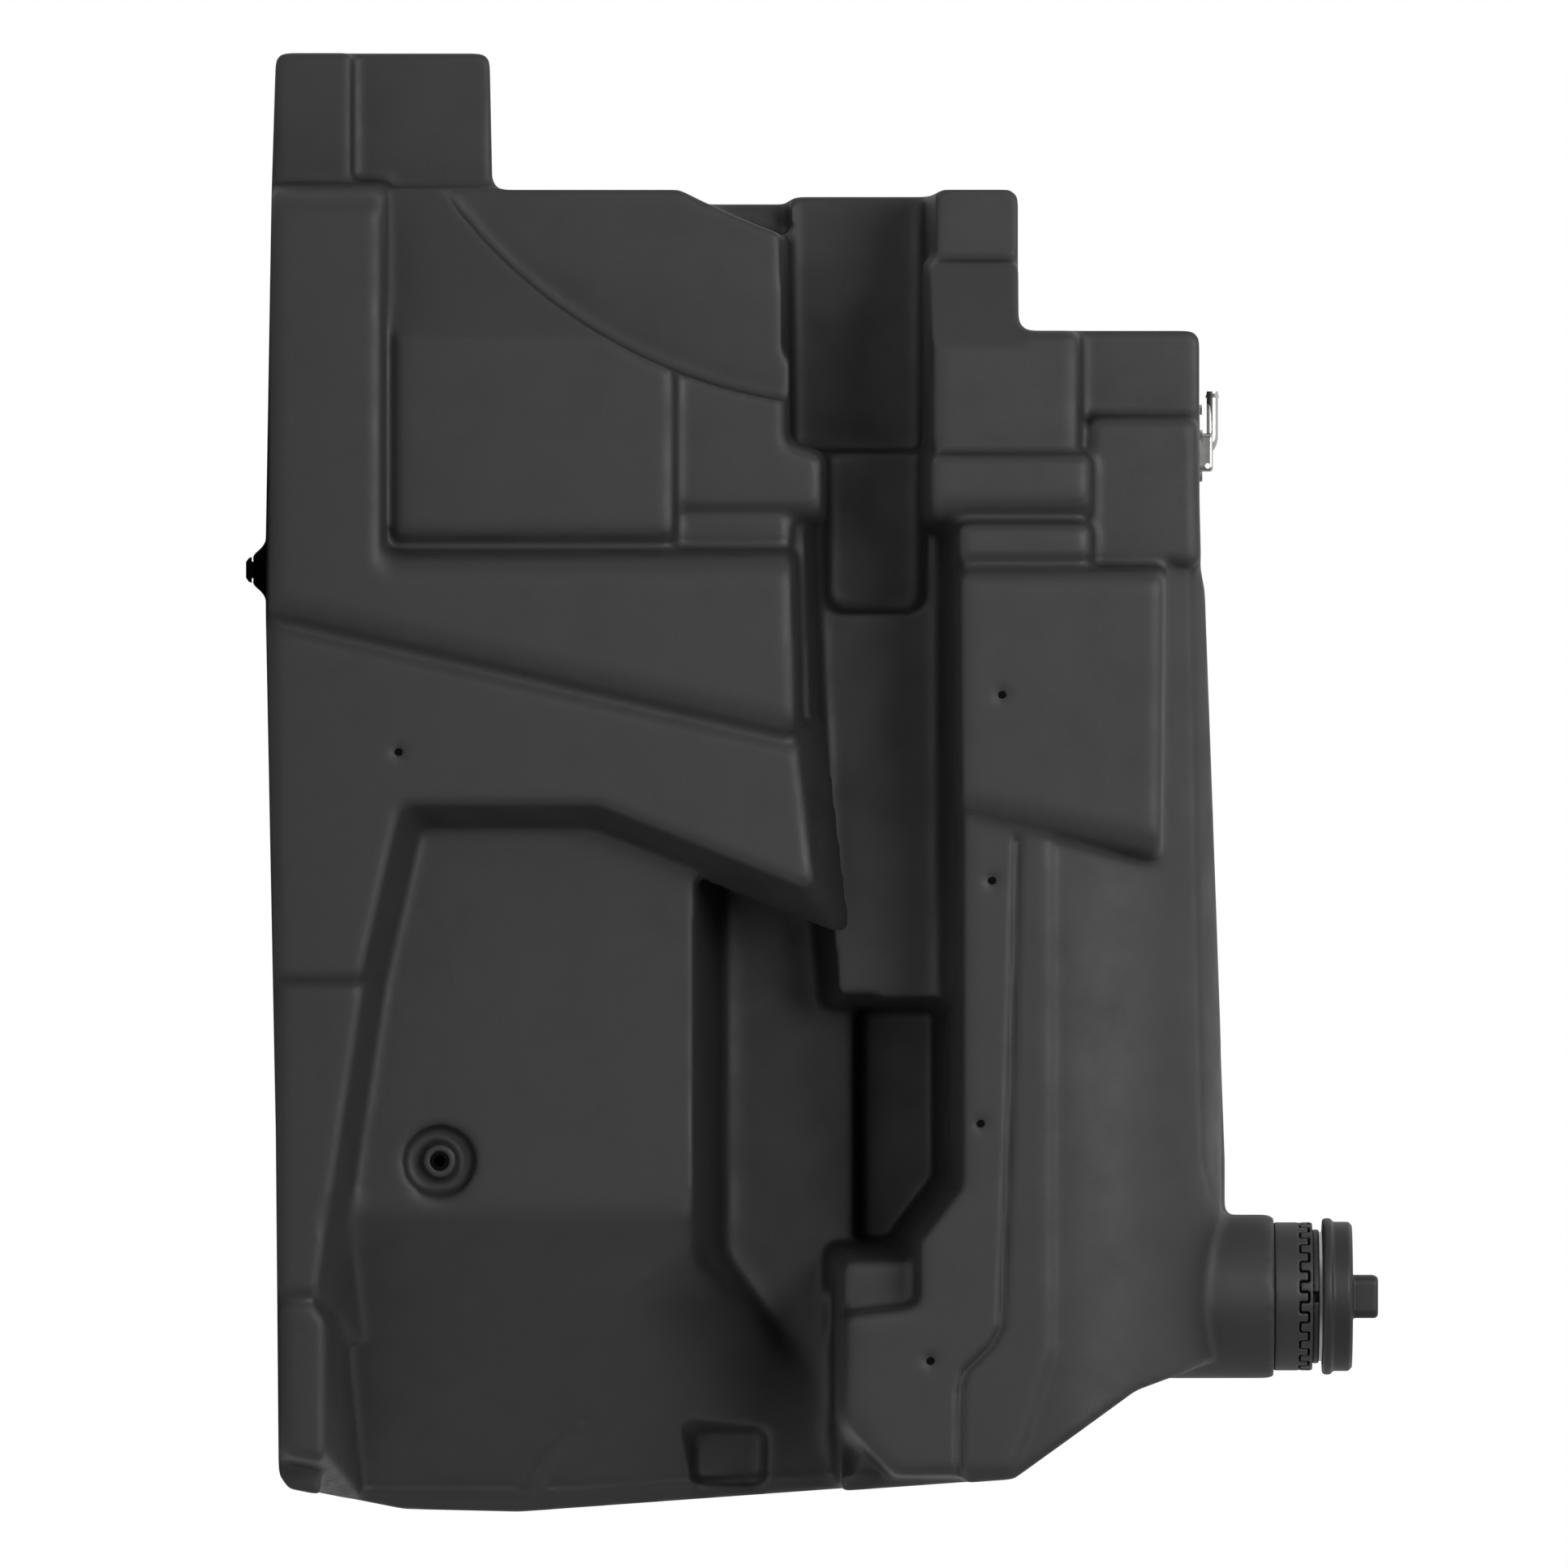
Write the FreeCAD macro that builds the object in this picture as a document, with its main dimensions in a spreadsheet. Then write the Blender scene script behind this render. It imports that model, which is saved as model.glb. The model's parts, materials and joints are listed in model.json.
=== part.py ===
import FreeCAD, Part
import math
import os
import Sketcher

# Fuel tank: one hollow moulded plastic shell with a screw cap on its filler neck,
# a level sender with a pickup pipe in its roof, a drain plug and threaded inserts.
#
# Frame: +Z is up and the stepped front of the tank faces -Y. X = 0 is the middle of
# the length, Y = 0 the middle of the thickness, and Z = 0 is the foot of the drain plug.
# A depth is counted backwards, towards +Y, from the tank's foremost face.

doc = FreeCAD.newDocument("fuel_tank")
sheet = doc.addObject("Spreadsheet::Sheet", "dims")

SIZES = {
    # moulded shell
    "tank_depth": 350,
    "wall_draft": 8,
    "wall": 6,
    "rim_round": 8,
    "back_round": 12,
    "draft": 4,
    "steep_draft": 20,
    "roll": 22,
    "deck_depth": 60,
    "mouth_margin": 30,
    # outline of the shell, along X
    "tower_x": -512,
    "head_x": -416,
    "roof_x": -317,
    "far_x": 512,
    # outline of the shell, along Z
    "floor_z": 14,
    "tower_z": 173,
    "deck_z": 541,
    "roof_z": 669,
    "shoulder_z": 687,
    # lines that the steps of the front share
    "column_z": 95,
    "spine_z": 384,
    "gully_z": 478,
    "rib_z": 500,
    "shelf_z": 590,
    "cross_x": -231,
    "waist_x": -184,
    "band_x": -160,
    "rib_x": -150,
    "foot_x": 487,
    # depths of the steps
    "column_depth": 0,
    "leg_depth": 10,
    "toe_depth": 18,
    "bay_depth": 30,
    "saddle_depth": 45,
    "shelf_depth": 40,
    "upper_bar_depth": 15,
    "lower_bar_depth": 10,
    "block_depth": 0,
    "rib_depth": 12,
    "notch_depth": 48,
    # depths of the pockets
    "corner_depth": 95,
    "tower_depth": 120,
    "arch_depth": 85,
    "gully_depth": 180,
    "sump_depth": 150,
    "channel_depth": 120,
    "trench_depth": 200,
    "well_depth": 240,
    "hood_depth": 75,
    "tray_depth": 208,
    "arch_radius": 364,
    "brow_radius": 624,
    "shoulder_radius": 118,
    # filler neck
    "neck_x": 360,
    "neck_depth": 140,
    "neck_radius": 57.5,
    "neck_bore": 46,
    "neck_z": 721,
    # sleeve, lock ring and mouth of the neck
    "sleeve_radius": 52,
    "sleeve_bore": 41,
    "sleeve_z": 738.4,
    "sleeve_plug": 30,
    "spigot_radius": 44,
    "tooth_top_z": 744.6,
    "tooth_count": 22,
    "tooth_gap": 1.2,
    "ring_z": 748,
    "mouth_radius": 47,
    "mouth_z": 752.7,
    "slot_width": 7,
    "lip_z": 754.7,
    # cap
    "cap_gap": 0.3,
    "cap_lip_radius": 54.9,
    "cap_radius": 52.4,
    "cap_lip_z": 762,
    "cap_z": 776,
    "cap_wall": 3,
    "grip_z": 793.7,
    "grip_half": 14.9,
    "grip_reach": 44,
    "plug_radius": 38,
    "plug_length": 33,
    "valve_radius": 9,
    # level sender
    "sender_x": -237,
    "sender_back": 82,
    "port_radius": 22,
    "seat_z": 667.8,
    "seat_radius": 34,
    "seat_thick": 14,
    "flange_radius": 30,
    "flange_thick": 2.3,
    "gasket_thick": 1,
    "screw_count": 5,
    "screw_circle": 26,
    "screw_radius": 2,
    "head_z": 680.6,
    "pipe_radius": 4,
    "pipe_bore": 2.8,
    "pipe_z": 680.3,
    "pipe_reach": 39,
    "pipe_bend": 12,
    "barb_length": 4.5,
    "pipe_offset": 5,
    "pipe_foot_z": 62,
    "stem_length": 330,
    "stem_width": 12,
    "stem_thick": 2,
    "stem_back": 5.5,
    "sensor_thick": 8,
    "sensor_width": 26,
    "sensor_height": 38,
    "arm_length": 300,
    "arm_drop": 52,
    "arm_radius": 1.5,
    "float_radius": 19,
    "float_length": 30,
    "strainer_radius": 14,
    "strainer_z": 28,
    "pin_radius": 2,
    "running_gap": 0.05,
    # drain
    "drain_x": -150,
    "drain_depth": 200,
    "boss_radius": 16.5,
    "boss_tip": 10.5,
    "drain_bore": 6,
    "drain_tip_z": 4.2,
    "drain_head_z": 3,
    "key_radius": 3.5,
    "key_depth": 6,
    # inserts
    "insert_radius": 4.5,
    "insert_bore": 2.3,
    "insert_length": 12,
    "boss_wall": 4,
    "socket_x": 264.5,
    "socket_z": 135.7,
    "socket_radius": 25,
    "socket_sink": 14,
    "socket_boss": 12,
    "socket_insert": 6,
    "socket_bore": 4,
    "socket_length": 18,
}

for row, (alias, amount) in enumerate(SIZES.items(), start=1):
    sheet.set("A" + str(row), alias.replace("_", " "))
    sheet.set("B" + str(row), str(amount))
    sheet.setAlias("B" + str(row), alias)
doc.recompute()

ROLES = {"front": "XZ_Plane", "level": "XY_Plane", "side": "YZ_Plane"}


# Lengths that follow from others: the middle of the thickness, and the depth of the sender's axis
DERIVED = {
    "half_depth": ("dims.tank_depth / 2", lambda: sheet.get("tank_depth") / 2),
    "sender_depth": ("dims.tank_depth - dims.sender_back",
                     lambda: sheet.get("tank_depth") - sheet.get("sender_back")),
}


def value(term):
    """Number that a term such as 'roof_z - 3' stands for."""
    total = 0.0
    sign = 1
    for word in str(term).split():
        if word in "+-":
            sign = 1 if word == "+" else -1
        elif word in DERIVED:
            total += sign * DERIVED[word][1]()
        elif word[0].isalpha():
            total += sign * sheet.get(word)
        else:
            total += sign * float(word)
    return total


def bound(term):
    """The same term as an expression that the document can follow."""
    words = []
    for word in str(term).split():
        if word in DERIVED:
            words.append("(" + DERIVED[word][0] + ")")
        else:
            words.append("dims." + word if word[0].isalpha() else word)
    return " ".join(words)


def depth_to_y(term):
    return value(term) - value("tank_depth") / 2


def tie(thing, path, term, factor=""):
    thing.setExpression(path, "(" + bound(term) + ")" + factor)


def tie_depth(thing, path, term):
    thing.setExpression(path, "(" + bound(term) + ") - dims.tank_depth / 2")


def origin_plane(body, role):
    for feature in body.Origin.OriginFeatures:
        if feature.Role == role:
            return feature


def draw(sketch, points, arcs=None):
    """Closed outline through points given as pairs of terms, each point tied to its terms.

    arcs names the sides that are round: side number to the centre of its circle.
    """
    arcs = arcs or {}
    spots = [FreeCAD.Vector(value(a), value(b), 0) for a, b in points]
    count = len(spots)
    ends = []
    for i, start in enumerate(spots):
        end = spots[(i + 1) % count]
        first = 1
        if i in arcs:
            centre = FreeCAD.Vector(value(arcs[i][0]), value(arcs[i][1]), 0)
            circle = Part.Circle(centre, FreeCAD.Vector(0, 0, 1), (start - centre).Length)
            low = math.atan2(start.y - centre.y, start.x - centre.x)
            high = math.atan2(end.y - centre.y, end.x - centre.x)
            if (high - low) % (2 * math.pi) > math.pi:
                low, high = high, low
                first = 2
            sketch.addGeometry(Part.ArcOfCircle(circle, low, low + (high - low) % (2 * math.pi)), False)
        else:
            sketch.addGeometry(Part.LineSegment(start, end), False)
        ends.append((first, 3 - first))
    for i in range(count):
        follower = (i + 1) % count
        sketch.addConstraint(Sketcher.Constraint("Coincident", i, ends[i][1], follower, ends[follower][0]))
    for i, (a, b) in enumerate(points):
        for kind, term in (("DistanceX", a), ("DistanceY", b)):
            number = sketch.addConstraint(Sketcher.Constraint(kind, -1, 1, i, ends[i][0], value(term)))
            if any(word[0].isalpha() for word in str(term).split()):
                sketch.setExpression("Constraints[" + str(number) + "]", bound(term))
    return sketch


def new_sketch(body, name, plane, offset_term, points, arcs=None, depth=False):
    """Sketch on a plane of the body, moved along the plane's normal by offset_term.

    On the front plane the offset is a depth, counted from the foremost face.
    """
    sketch = body.newObject("Sketcher::SketchObject", name)
    sketch.AttachmentSupport = [(origin_plane(body, ROLES[plane]), "")]
    sketch.MapMode = "FlatFace"
    if depth:
        height = "dims.tank_depth / 2 - (" + bound(offset_term) + ")"
        sketch.AttachmentOffset = FreeCAD.Placement(FreeCAD.Vector(0, 0, -depth_to_y(offset_term)),
                                                    FreeCAD.Rotation())
    else:
        height = bound(offset_term)
        sketch.AttachmentOffset = FreeCAD.Placement(FreeCAD.Vector(0, 0, value(offset_term)),
                                                    FreeCAD.Rotation())
    sketch.setExpression("AttachmentOffset.Base.z", height)
    draw(sketch, points, arcs)
    return sketch


def new_body(name):
    body = doc.addObject("PartDesign::Body", name)
    body.Label = name
    return body


def pad(body, name, sketch, length, reverse=False, draft=None):
    feature = body.newObject("PartDesign::Pad", name)
    feature.Profile = sketch
    feature.Length = value(length)
    tie(feature, "Length", length)
    feature.Reversed = reverse
    if draft is not None:
        feature.TaperAngle = value(draft)
        tie(feature, "TaperAngle", draft)
    sketch.Visibility = False
    return feature


def fuse(name, parts):
    joined = doc.addObject("Part::MultiFuse", name)
    joined.Shapes = parts
    return joined


def cut(name, base, tool):
    result = doc.addObject("Part::Cut", name)
    result.Base = base
    result.Tool = tool
    return result


def common(name, parts):
    result = doc.addObject("Part::MultiCommon", name)
    result.Shapes = parts
    return result


def rounded(name, base, radius_of):
    """Base with its edges rounded; radius_of gives an edge's radius, or 0 to leave it."""
    doc.recompute()
    edges = []
    for number, edge in enumerate(base.Shape.Edges, start=1):
        radius = radius_of(edge)
        if radius > 0:
            edges.append((number, radius, radius))
    result = doc.addObject("Part::Fillet", name)
    result.Base = base
    result.Edges = edges
    return result


def lies_on_side(edge, start, end, face_y):
    """Whether an edge runs along the side from start to end of the outline at face_y."""
    along = (end - start).normalize()
    for vertex in edge.Vertexes:
        if abs(vertex.Point.y - face_y) > 0.01:
            return False
        away = FreeCAD.Vector(vertex.Point.x - start.x, 0, vertex.Point.z - start.z)
        if abs(away.x * along.z - away.z * along.x) > 0.05:
            return False
    return True


def grown(spots, margin):
    """Outline moved outwards by a margin, its corners still sharp."""
    count = len(spots)
    area = sum(spots[i - 1].x * spots[i].z - spots[i].x * spots[i - 1].z for i in range(count))
    turn = 1 if area > 0 else -1
    lines = []
    for i in range(count):
        along = (spots[(i + 1) % count] - spots[i]).normalize()
        outward = FreeCAD.Vector(along.z, 0, -along.x) * turn
        lines.append((spots[i] + outward * margin, along))
    corners = []
    for i in range(count):
        before, along_before = lines[i - 1]
        after, along_after = lines[i]
        cross = along_before.x * along_after.z - along_before.z * along_after.x
        gap = after - before
        reach = (gap.x * along_after.z - gap.z * along_after.x) / cross
        corners.append(before + along_before * reach)
    return corners


def prism(name, spots, near_y, far_y, draft):
    """Solid with flat sides between an outline at near_y and the same, spread by draft, at far_y."""
    spread = abs(far_y - near_y) * math.tan(math.radians(draft))
    near = [FreeCAD.Vector(spot.x, near_y, spot.z) for spot in spots]
    far = [FreeCAD.Vector(spot.x, far_y, spot.z) for spot in grown(spots, spread)]
    count = len(spots)
    back = far[::-1]
    faces = [Part.Face(Part.makePolygon(near + near[:1])), Part.Face(Part.makePolygon(back + back[:1]))]
    for i in range(count):
        j = (i + 1) % count
        faces.append(Part.Face(Part.makePolygon([near[j], near[i], far[i], far[j], near[j]])))
    solid = Part.makeSolid(Part.makeShell(faces))
    if solid.Orientation == "Reversed":
        solid = Part.makeSolid(Part.makeShell([face.reversed() for face in faces]))
    feature = doc.addObject("Part::Feature", name)
    feature.Shape = solid
    return feature


def spots_of(points):
    return [FreeCAD.Vector(value(a), 0, value(b)) for a, b in points]


def edge_radius(edge, face_y, corner, rim, spots, rolls):
    """Radius for an edge of a step: its upright corners, its rim, or a rolled side."""
    heights = [vertex.Point.y for vertex in edge.Vertexes]
    if len(heights) == 2 and abs(heights[0] - heights[1]) > 1:
        return corner
    if max(abs(height - face_y) for height in heights) > 0.01:
        return 0
    for side, radius in rolls.items():
        if lies_on_side(edge, spots[side], spots[(side + 1) % len(spots)], face_y):
            return radius
    return rim


def block(name, points, depth, foot, rolls=None, draft="draft", corner=None):
    """A raised step and the hollow inside it, which stops a wall short of the step's foot.

    The outline lies at the step's front face, the sides widen backwards to the foot
    depth, and rolls gives the sides whose front edge has a larger radius.
    """
    rolls = rolls or {}
    rim = value("rim_round")
    corner = rim if corner is None else corner
    near_y = depth_to_y(depth)
    far_y = depth_to_y(foot)
    spots = spots_of(points)
    solid = prism(name + "_form", spots, near_y, far_y, value(draft))
    outer = rounded(name + "_rounded", solid,
                    lambda edge: edge_radius(edge, near_y, corner, rim, spots, rolls))
    wall = value("wall")
    inside = grown(spots, -wall)
    inner = prism(name + "_hollow", inside, near_y + wall, far_y - wall, value(draft))
    if rolls:
        smaller = {side: radius - wall for side, radius in rolls.items()}
        inner = rounded(name + "_hollow_rounded", inner,
                        lambda edge: edge_radius(edge, near_y + wall, 0, 0, inside, smaller))
    return outer, inner


def pocket(name, points, depth, root=None, draft="draft", corner=None):
    """A sunk pocket and the larger space that its walls take from the hollow."""
    corner = value("rim_round") if corner is None else corner
    root = value("rim_round") if root is None else root
    floor_y = depth_to_y(depth)
    mouth_y = depth_to_y("0 - mouth_margin")
    spots = spots_of(points)
    solid = prism(name + "_form", spots, floor_y, mouth_y, value(draft))
    tool = rounded(name + "_rounded", solid,
                   lambda edge: edge_radius(edge, floor_y, corner, root, spots, {}))
    wall = value("wall")
    keep = prism(name + "_keep", grown(spots, wall), floor_y + wall, mouth_y, value(draft))
    return tool, keep


def slope(name, plane, points, start, length, arcs=None):
    """A cut with a sloping or curved floor, drawn in profile, and its larger space.

    On the level plane the profile is X against Y and the cut runs along Z; on the side
    plane it is Y against Z and the cut runs along X.
    """
    body = new_body(name)
    sketch = new_sketch(body, name + "_profile", plane, start, points, arcs)
    pad(body, name + "_pad", sketch, length)
    outline = doc.addObject("Part::Offset2D", name + "_outer_profile")
    outline.Source = sketch
    outline.Mode = "Pipe"
    outline.Join = "Intersection"
    outline.Value = value("wall")
    outline.setExpression("Value", "dims.wall")
    keep = doc.addObject("Part::Extrusion", name + "_keep")
    keep.Base = outline
    keep.DirMode = "Custom"
    along = FreeCAD.Vector(0, 0, 1) if plane == "level" else FreeCAD.Vector(1, 0, 0)
    keep.Dir = along
    keep.Solid = True
    tie(keep, "LengthFwd", length + " + wall")
    tie(keep, "LengthRev", "wall")
    return body, keep


def drum(name, radius, low, high, x="0", y="0", axis="z"):
    """Cylinder between two terms along an axis, with its centre at the other two."""
    solid = doc.addObject("Part::Cylinder", name)
    tie(solid, "Radius", radius)
    solid.setExpression("Height", "(" + bound(high) + ") - (" + bound(low) + ")")
    if axis == "z":
        tie(solid, "Placement.Base.x", x)
        tie(solid, "Placement.Base.y", y)
        tie(solid, "Placement.Base.z", low)
    if axis == "y":
        lying = FreeCAD.Rotation(FreeCAD.Vector(1, 0, 0), -90)
        solid.Placement = FreeCAD.Placement(FreeCAD.Vector(0, 0, 0), lying)
        tie(solid, "Placement.Base.x", x)
        tie(solid, "Placement.Base.z", y)
        tie(solid, "Placement.Base.y", low)
    return solid


def turned(label, points, x="0", y="0", arcs=None):
    """Body turned about an upright axis at x, y from a profile of radius against Z."""
    body = new_body(label)
    sketch = new_sketch(body, label + "_profile", "front", "0", points, arcs)
    feature = body.newObject("PartDesign::Revolution", label + "_turn")
    feature.Profile = sketch
    feature.ReferenceAxis = (sketch, ["V_Axis"])
    feature.Angle = 360
    sketch.Visibility = False
    tie(body, "Placement.Base.x", x)
    tie(body, "Placement.Base.y", y)
    return body


# The shell's full outline, drafted both ways from the seam
SILHOUETTE = [
    ("tower_x", "floor_z + 7", "rounded"),
    ("tower_x", "tower_z - 2", "rounded"),
    ("head_x", "tower_z", "rounded"),
    ("head_x", "304"),
    ("head_x + 9", "322"),
    ("head_x + 9", "gully_z - 98"),
    ("head_x + 4", "gully_z - 93"),
    ("head_x + 4", "gully_z + 2"),
    ("head_x", "gully_z + 10"),
    ("head_x", "deck_z", "rounded"),
    ("roof_x", "deck_z", "rounded"),
    ("roof_x", "seat_z", "rounded"),
    ("0 - 198", "seat_z"),
    ("rib_x", "roof_z"),
    ("rib_x + 15", "roof_z + 3"),
    ("neck_x - 96", "shoulder_z"),
    ("neck_x + 42", "shoulder_z"),
    ("far_x - 87", "shoulder_z - 64"),
    ("foot_x", "deck_z - 4", "rounded"),
    ("far_x", "192"),
    ("far_x - 2", "111"),
    ("far_x - 18", "30"),
    ("far_x - 28", "floor_z + 9", "rounded"),
    ("0 + 247", "floor_z + 7"),
    ("0 - 117", "floor_z"),
    ("0 - 174", "floor_z"),
    ("head_x + 2", "floor_z + 4"),
]
OUTLINE = [corner[:2] for corner in SILHOUETTE]

envelope_body = new_body("envelope")
envelope_outline = new_sketch(envelope_body, "envelope_outline", "front", "0", OUTLINE, depth=True)
pad(envelope_body, "envelope_pad", envelope_outline, "tank_depth", reverse=True)
hollow = prism("hollow", grown(spots_of(OUTLINE), -value("wall")),
               value("wall") - value("half_depth"), value("half_depth") - value("wall"), 0)


def corner_radius(edge):
    heights = [vertex.Point.y for vertex in edge.Vertexes]
    if abs(heights[0] - heights[1]) < 1:
        return 0
    for vertex in edge.Vertexes:
        for corner in SILHOUETTE:
            away = abs(vertex.Point.x - value(corner[0])) + abs(vertex.Point.z - value(corner[1]))
            if away < 0.01 and corner[-1] == "rounded":
                return value("rim_round")
    return 0


def back_radius(edge):
    heights = [vertex.Point.y for vertex in edge.Vertexes]
    at_back = max(abs(height - value("half_depth")) for height in heights) < 0.01
    return value("back_round") if at_back else 0


envelope_corners = rounded("envelope_corners", envelope_body, corner_radius)
envelope = rounded("envelope_rounded", envelope_corners, back_radius)


def front_box(name, x_low, x_high, z_low, z_high, depth):
    """Box that takes away everything before a depth, between two X and two Z terms."""
    box = doc.addObject("Part::Box", name)
    tie(box, "Placement.Base.x", x_low)
    tie_depth(box, "Placement.Base.y", "0 - mouth_margin")
    tie(box, "Placement.Base.z", z_low)
    box.setExpression("Length", "(" + bound(x_high) + ") - (" + bound(x_low) + ")")
    tie(box, "Width", depth + " + mouth_margin")
    box.setExpression("Height", "(" + bound(z_high) + ") - (" + bound(z_low) + ")")
    return box


def box_pair(name, x_low, x_high, z_low, z_high, depth):
    """The same box, and the larger one that its floor and sides take from the hollow."""
    near = front_box(name, x_low, x_high, z_low, z_high, depth)
    far = front_box(name + "_keep", x_low + " - wall", x_high + " + wall", z_low + " - wall",
                    z_high + " + wall", depth + " + wall")
    return near, far


# Pockets of the plain deck, from the tower at the left end to the well at the right
deck = box_pair("deck_front", "tower_x - 40", "far_x + 40", "floor_z - 40", "shoulder_z + 60", "deck_depth")
tower_low = box_pair("tower_front_low", "tower_x - 40", "head_x", "floor_z - 40", "74", "corner_depth")
tower_high = box_pair("tower_front_high", "tower_x - 40", "head_x", "74", "tower_z + 40", "tower_depth")
hood = box_pair("hood_front", "head_x - 40", "head_x + 52", "gully_z + 4", "deck_z + 30", "hood_depth")
shoulder_room = box_pair("shoulder_front", "rib_x", "far_x + 40", "rib_z + 66", "shoulder_z + 60",
                         "neck_depth")

gully = pocket("gully", [
    ("head_x - 24", "spine_z - 3"),
    ("head_x - 24", "gully_z - 2"),
    ("cross_x - 3", "gully_z - 2"),
    ("cross_x - 3", "spine_z - 1"),
], "gully_depth")
sump = pocket("sump", [
    ("cross_x - 20", "spine_z + 23"),
    ("cross_x - 20", "gully_z - 3"),
    ("0 - 121", "gully_z - 3"),
    ("0 - 121", "spine_z + 23"),
], "sump_depth", corner=14)
channel = pocket("channel", [
    ("waist_x - 1", "spine_z + 15"),
    ("waist_x - 1", "rib_z - 13"),
    ("0 + 154", "rib_z - 12"),
    ("0 + 154", "spine_z + 28"),
], "channel_depth", draft="wall_draft")
trench = pocket("trench", [
    ("0 + 64", "334"),
    ("0 + 92", "400"),
    ("0 + 159", "406"),
    ("0 + 159", "437"),
    ("0 + 339", "437"),
    ("0 + 446", "414"),
    ("0 + 330", "334"),
], "trench_depth", draft="wall_draft", corner=6)
well = pocket("well", [
    ("0 + 159", "430"),
    ("0 + 159", "rib_z - 6"),
    ("0 + 282", "rib_z - 6"),
    ("0 + 325", "465"),
    ("0 + 339", "430"),
], "well_depth", corner=6)
ramp = slope("ramp", "level", [
    ("0 + 304", "deck_depth - half_depth"),
    ("0 + 495", "trench_depth - half_depth"),
    ("far_x + 30", "trench_depth + 4 - half_depth"),
    ("far_x + 30", "0 - mouth_margin - half_depth"),
    ("0 + 304", "0 - mouth_margin - half_depth"),
], "52", "spine_z + 33 - 52")
tray = pocket("tray", [
    ("0 + 457", "316"),
    ("0 + 457", "363"),
    ("0 + 491", "363"),
    ("0 + 491", "316"),
], "tray_depth", draft="steep_draft", root=4)
POCKETS = [deck, tower_low, tower_high, hood, shoulder_room, gully, sump, channel, trench, well, ramp, tray]

# Raised steps of the front; a roll is the large rounding along a step's lower or upper edge
ROLL = value("roll")
column = block("column", [
    ("head_x + 2", "floor_z + 4"),
    ("head_x + 2", "column_z"),
    ("band_x", "column_z"),
    ("band_x", "spine_z - 2"),
    ("0 - 31", "spine_z + 1"),
    ("0 - 116", "floor_z + 3"),
], "column_depth", "tower_depth + 10", rolls={0: ROLL, 2: ROLL, 4: ROLL})
leg = block("leg", [
    ("0 - 112", "floor_z + 4"),
    ("0 - 27", "spine_z + 1"),
    ("0 + 74", "spine_z + 13"),
    ("0 + 14", "246"),
    ("0 + 14", "108"),
    ("0 + 136", "80"),
    ("0 + 136", "floor_z + 8"),
], "leg_depth", "deck_depth + 14", rolls={0: 16}, draft="steep_draft")
toe = block("toe", [
    ("0 + 142", "floor_z + 9"),
    ("0 + 142", "82"),
    ("0 + 357", "49"),
    ("0 + 357", "floor_z + 9"),
], "toe_depth", "deck_depth + 60", draft="steep_draft")
heel = block("heel", [
    ("0 + 363", "floor_z + 11"),
    ("0 + 363", "47"),
    ("0 + 376", "56"),
    ("0 + 476", "56"),
    ("0 + 470", "floor_z + 13"),
], "toe_depth", "trench_depth", draft="wall_draft")
bay = block("bay", [
    ("head_x + 2", "column_z + 6"),
    ("head_x + 2", "300"),
    ("waist_x + 22", "300"),
    ("waist_x + 22", "column_z + 6"),
], "bay_depth", "arch_depth + 14", rolls={2: ROLL})
strip = block("strip", [
    ("waist_x - 6", "290"),
    ("waist_x - 6", "spine_z - 1"),
    ("waist_x + 22", "spine_z - 1"),
    ("waist_x + 22", "290"),
], "saddle_depth + 3", "arch_depth + 14", rolls={2: 12})
saddle = block("saddle", [
    ("0 - 300", "299"),
    ("0 - 300", "spine_z - 6"),
    ("0 - 238", "spine_z - 6"),
    ("cross_x + 2", "spine_z + 20"),
    ("waist_x", "spine_z + 20"),
    ("waist_x", "299"),
], "saddle_depth", "arch_depth + 14", rolls={4: 18})
landing = block("landing", [
    ("0 - 363", "gully_z + 2"),
    ("0 - 363", "deck_z - 1"),
    ("roof_x + 1", "deck_z + 1"),
    ("roof_x + 1", "shelf_z - 7"),
    ("cross_x", "shelf_z - 7"),
    ("cross_x", "gully_z + 2"),
], "bay_depth", "deck_depth + 60")
upper_bar = block("upper_bar", [
    ("cross_x + 1", "gully_z"),
    ("cross_x + 1", "shelf_z + 1"),
    ("waist_x", "shelf_z + 1"),
    ("waist_x", "gully_z"),
], "upper_bar_depth", "deck_depth + 60", rolls={2: ROLL})
lower_bar = block("lower_bar", [
    ("waist_x + 2", "rib_z - 2"),
    ("waist_x + 2", "shelf_z + 1"),
    ("rib_x - 2", "shelf_z + 1"),
    ("rib_x - 2", "rib_z - 2"),
], "lower_bar_depth", "deck_depth + 60", rolls={2: 13})
shelf = block("shelf", [
    ("0 - 256", "shelf_z - 1"),
    ("0 - 256", "roof_z - 3"),
    ("rib_x - 2", "roof_z - 1"),
    ("rib_x - 2", "shelf_z - 1"),
], "shelf_depth", "deck_depth + 30")
rib = block("rib", [
    ("rib_x + 10", "rib_z + 1"),
    ("rib_x + 10", "rib_z + 66"),
    ("0 + 396", "rib_z + 66"),
    ("0 + 455", "548"),
    ("foot_x - 3", "536"),
    ("foot_x - 3", "454"),
    ("0 + 447", "417"),
    ("0 + 372", "420"),
    ("0 + 366", "471"),
    ("0 + 321", "471"),
    ("0 + 282", "rib_z + 1"),
], "rib_depth", "well_depth + 4", rolls={})
main_block = block("main_block", [
    ("rib_x + 1", "rib_z - 1"),
    ("rib_x + 1", "642"),
    ("0 + 53", "640"),
    ("0 + 22", "rib_z"),
], "block_depth", "neck_depth", rolls={0: 14, 2: ROLL})
notch = block("notch", [
    ("0 + 334", "418"),
    ("0 + 334", "474"),
    ("0 + 369", "474"),
    ("0 + 369", "418"),
], "notch_depth", "well_depth")
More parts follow.
